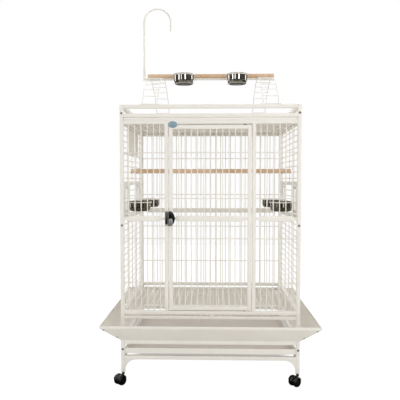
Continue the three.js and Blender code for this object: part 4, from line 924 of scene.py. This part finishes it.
# Studio: white behind the cage, and soft light that weakens towards the floor and is stronger from behind.
# What mirrors the studio sees a dim room with tall lit strips instead. A strip is (degrees to the right of
# the camera's own side, half its width).
STRIPS = ((-152, 4), (-112, 4), (-54, 4.5), (-27, 2), (17, 5), (104, 4), (148, 5))
STRIP_LIGHT = 6.5
world = bpy.data.worlds.new("studio")
bpy.context.scene.world = world
world.use_nodes = True
tree = world.node_tree
way = add(tree, "ShaderNodeTexCoord", {}, {})
axes = add(tree, "ShaderNodeSeparateXYZ", {}, {"Vector": (way, "Generated")})
behind = add(tree, "ShaderNodeMath", {"operation": "MULTIPLY"}, {0: (axes, "Y"), 1: -1.0})
bearing = add(tree, "ShaderNodeMath", {"operation": "ARCTAN2"}, {0: (axes, "X"), 1: (behind, "Value")})
round_share = add(tree, "ShaderNodeMapRange", {},
                  {"Value": (bearing, "Value"), "From Min": -math.pi, "From Max": math.pi})
strips = add(tree, "ShaderNodeValToRGB", {}, {"Fac": (round_share, "Result")})
strips.color_ramp.interpolation = "CONSTANT"
strips.color_ramp.elements[1].color = linear("#000000")
for middle, half in STRIPS:
    strips.color_ramp.elements.new((middle - half) / 360 + 0.5).color = linear("#ffffff")
    strips.color_ramp.elements.new((middle + half) / 360 + 0.5).color = linear("#000000")
over = add(tree, "ShaderNodeMapRange", {}, {"Value": (axes, "Z"), "From Min": -0.2, "From Max": 0.0})
shining = add(tree, "ShaderNodeMath", {"operation": "MULTIPLY"}, {0: (strips, "Color"), 1: (over, "Result")})
room = add(tree, "ShaderNodeMapRange", {},
           {"Value": (axes, "Z"), "From Min": 0.2, "From Max": 0.6, "To Min": 0.13, "To Max": 1.4})
mirrored = add(tree, "ShaderNodeMath", {"operation": "MULTIPLY_ADD"},
               {0: (shining, "Value"), 1: STRIP_LIGHT, 2: (room, "Result")})
above = add(tree, "ShaderNodeMapRange", {},
            {"Value": (axes, "Z"), "From Min": -0.35, "From Max": 1.0, "To Min": 0.56, "To Max": 0.72})
from_behind = add(tree, "ShaderNodeMapRange", {},
                  {"Value": (axes, "Y"), "From Min": -1.0, "To Min": 0.74, "To Max": 1.75})
soft = add(tree, "ShaderNodeMath", {"operation": "MULTIPLY"},
           {0: (above, "Result"), 1: (from_behind, "Result")})
ray = add(tree, "ShaderNodeLightPath", {}, {})
either = add(tree, "ShaderNodeMix", {},
             {0: (ray, "Is Glossy Ray"), 2: (soft, "Value"), 3: (mirrored, "Value")})
strength = add(tree, "ShaderNodeMix", {}, {0: (ray, "Is Camera Ray"), 2: (either, 0), 3: 1.0})
join(tree, tree.nodes["Background"], {"Color": linear("#ffffff"), "Strength": (strength, 0)})


def lamp(name, place, aim, size, power):
    """A square soft white lamp that faces a point: metres and watts."""
    light = bpy.data.lights.new(name, "AREA")
    light.shape, light.size, light.energy = "SQUARE", size, power
    thing = bpy.data.objects.new(name, light)
    thing.location = place
    x, y, z = np.asarray(aim, float) - place
    thing.rotation_euler = (math.atan2(math.hypot(x, y), -z), 0, math.atan2(y, x) - math.pi / 2)
    thing.visible_camera = thing.visible_glossy = False
    bpy.context.scene.collection.objects.link(thing)


lamp("key", (1.9, -3.8, 1.9), (0, 0, 1.0), 2.2, 45)
lamp("fill", (-3.0, -3.0, 1.6), (0, 0, 0.9), 2.4, 16)
lamp("side", (3.4, 0.6, 1.4), (0.2, 0, 1.3), 2.0, 13)

# Camera: its place, turn and lens are fitted to the edges and rails of the photo. It is almost level, and
# stands a little right of the middle.
TILT, SWING = 0.0402, 0.0265
camera = bpy.data.cameras.new("camera")
camera.lens, camera.sensor_width = 43.8, 36
view = bpy.data.objects.new("camera", camera)
view.location = (0.0139, -2.8106, 1.0465)
view.rotation_euler = (math.pi / 2 - TILT, 0, SWING)
bpy.context.scene.collection.objects.link(view)
bpy.context.scene.camera = view
bpy.context.scene.view_settings.view_transform = "Standard"

bpy.context.view_layer.update()
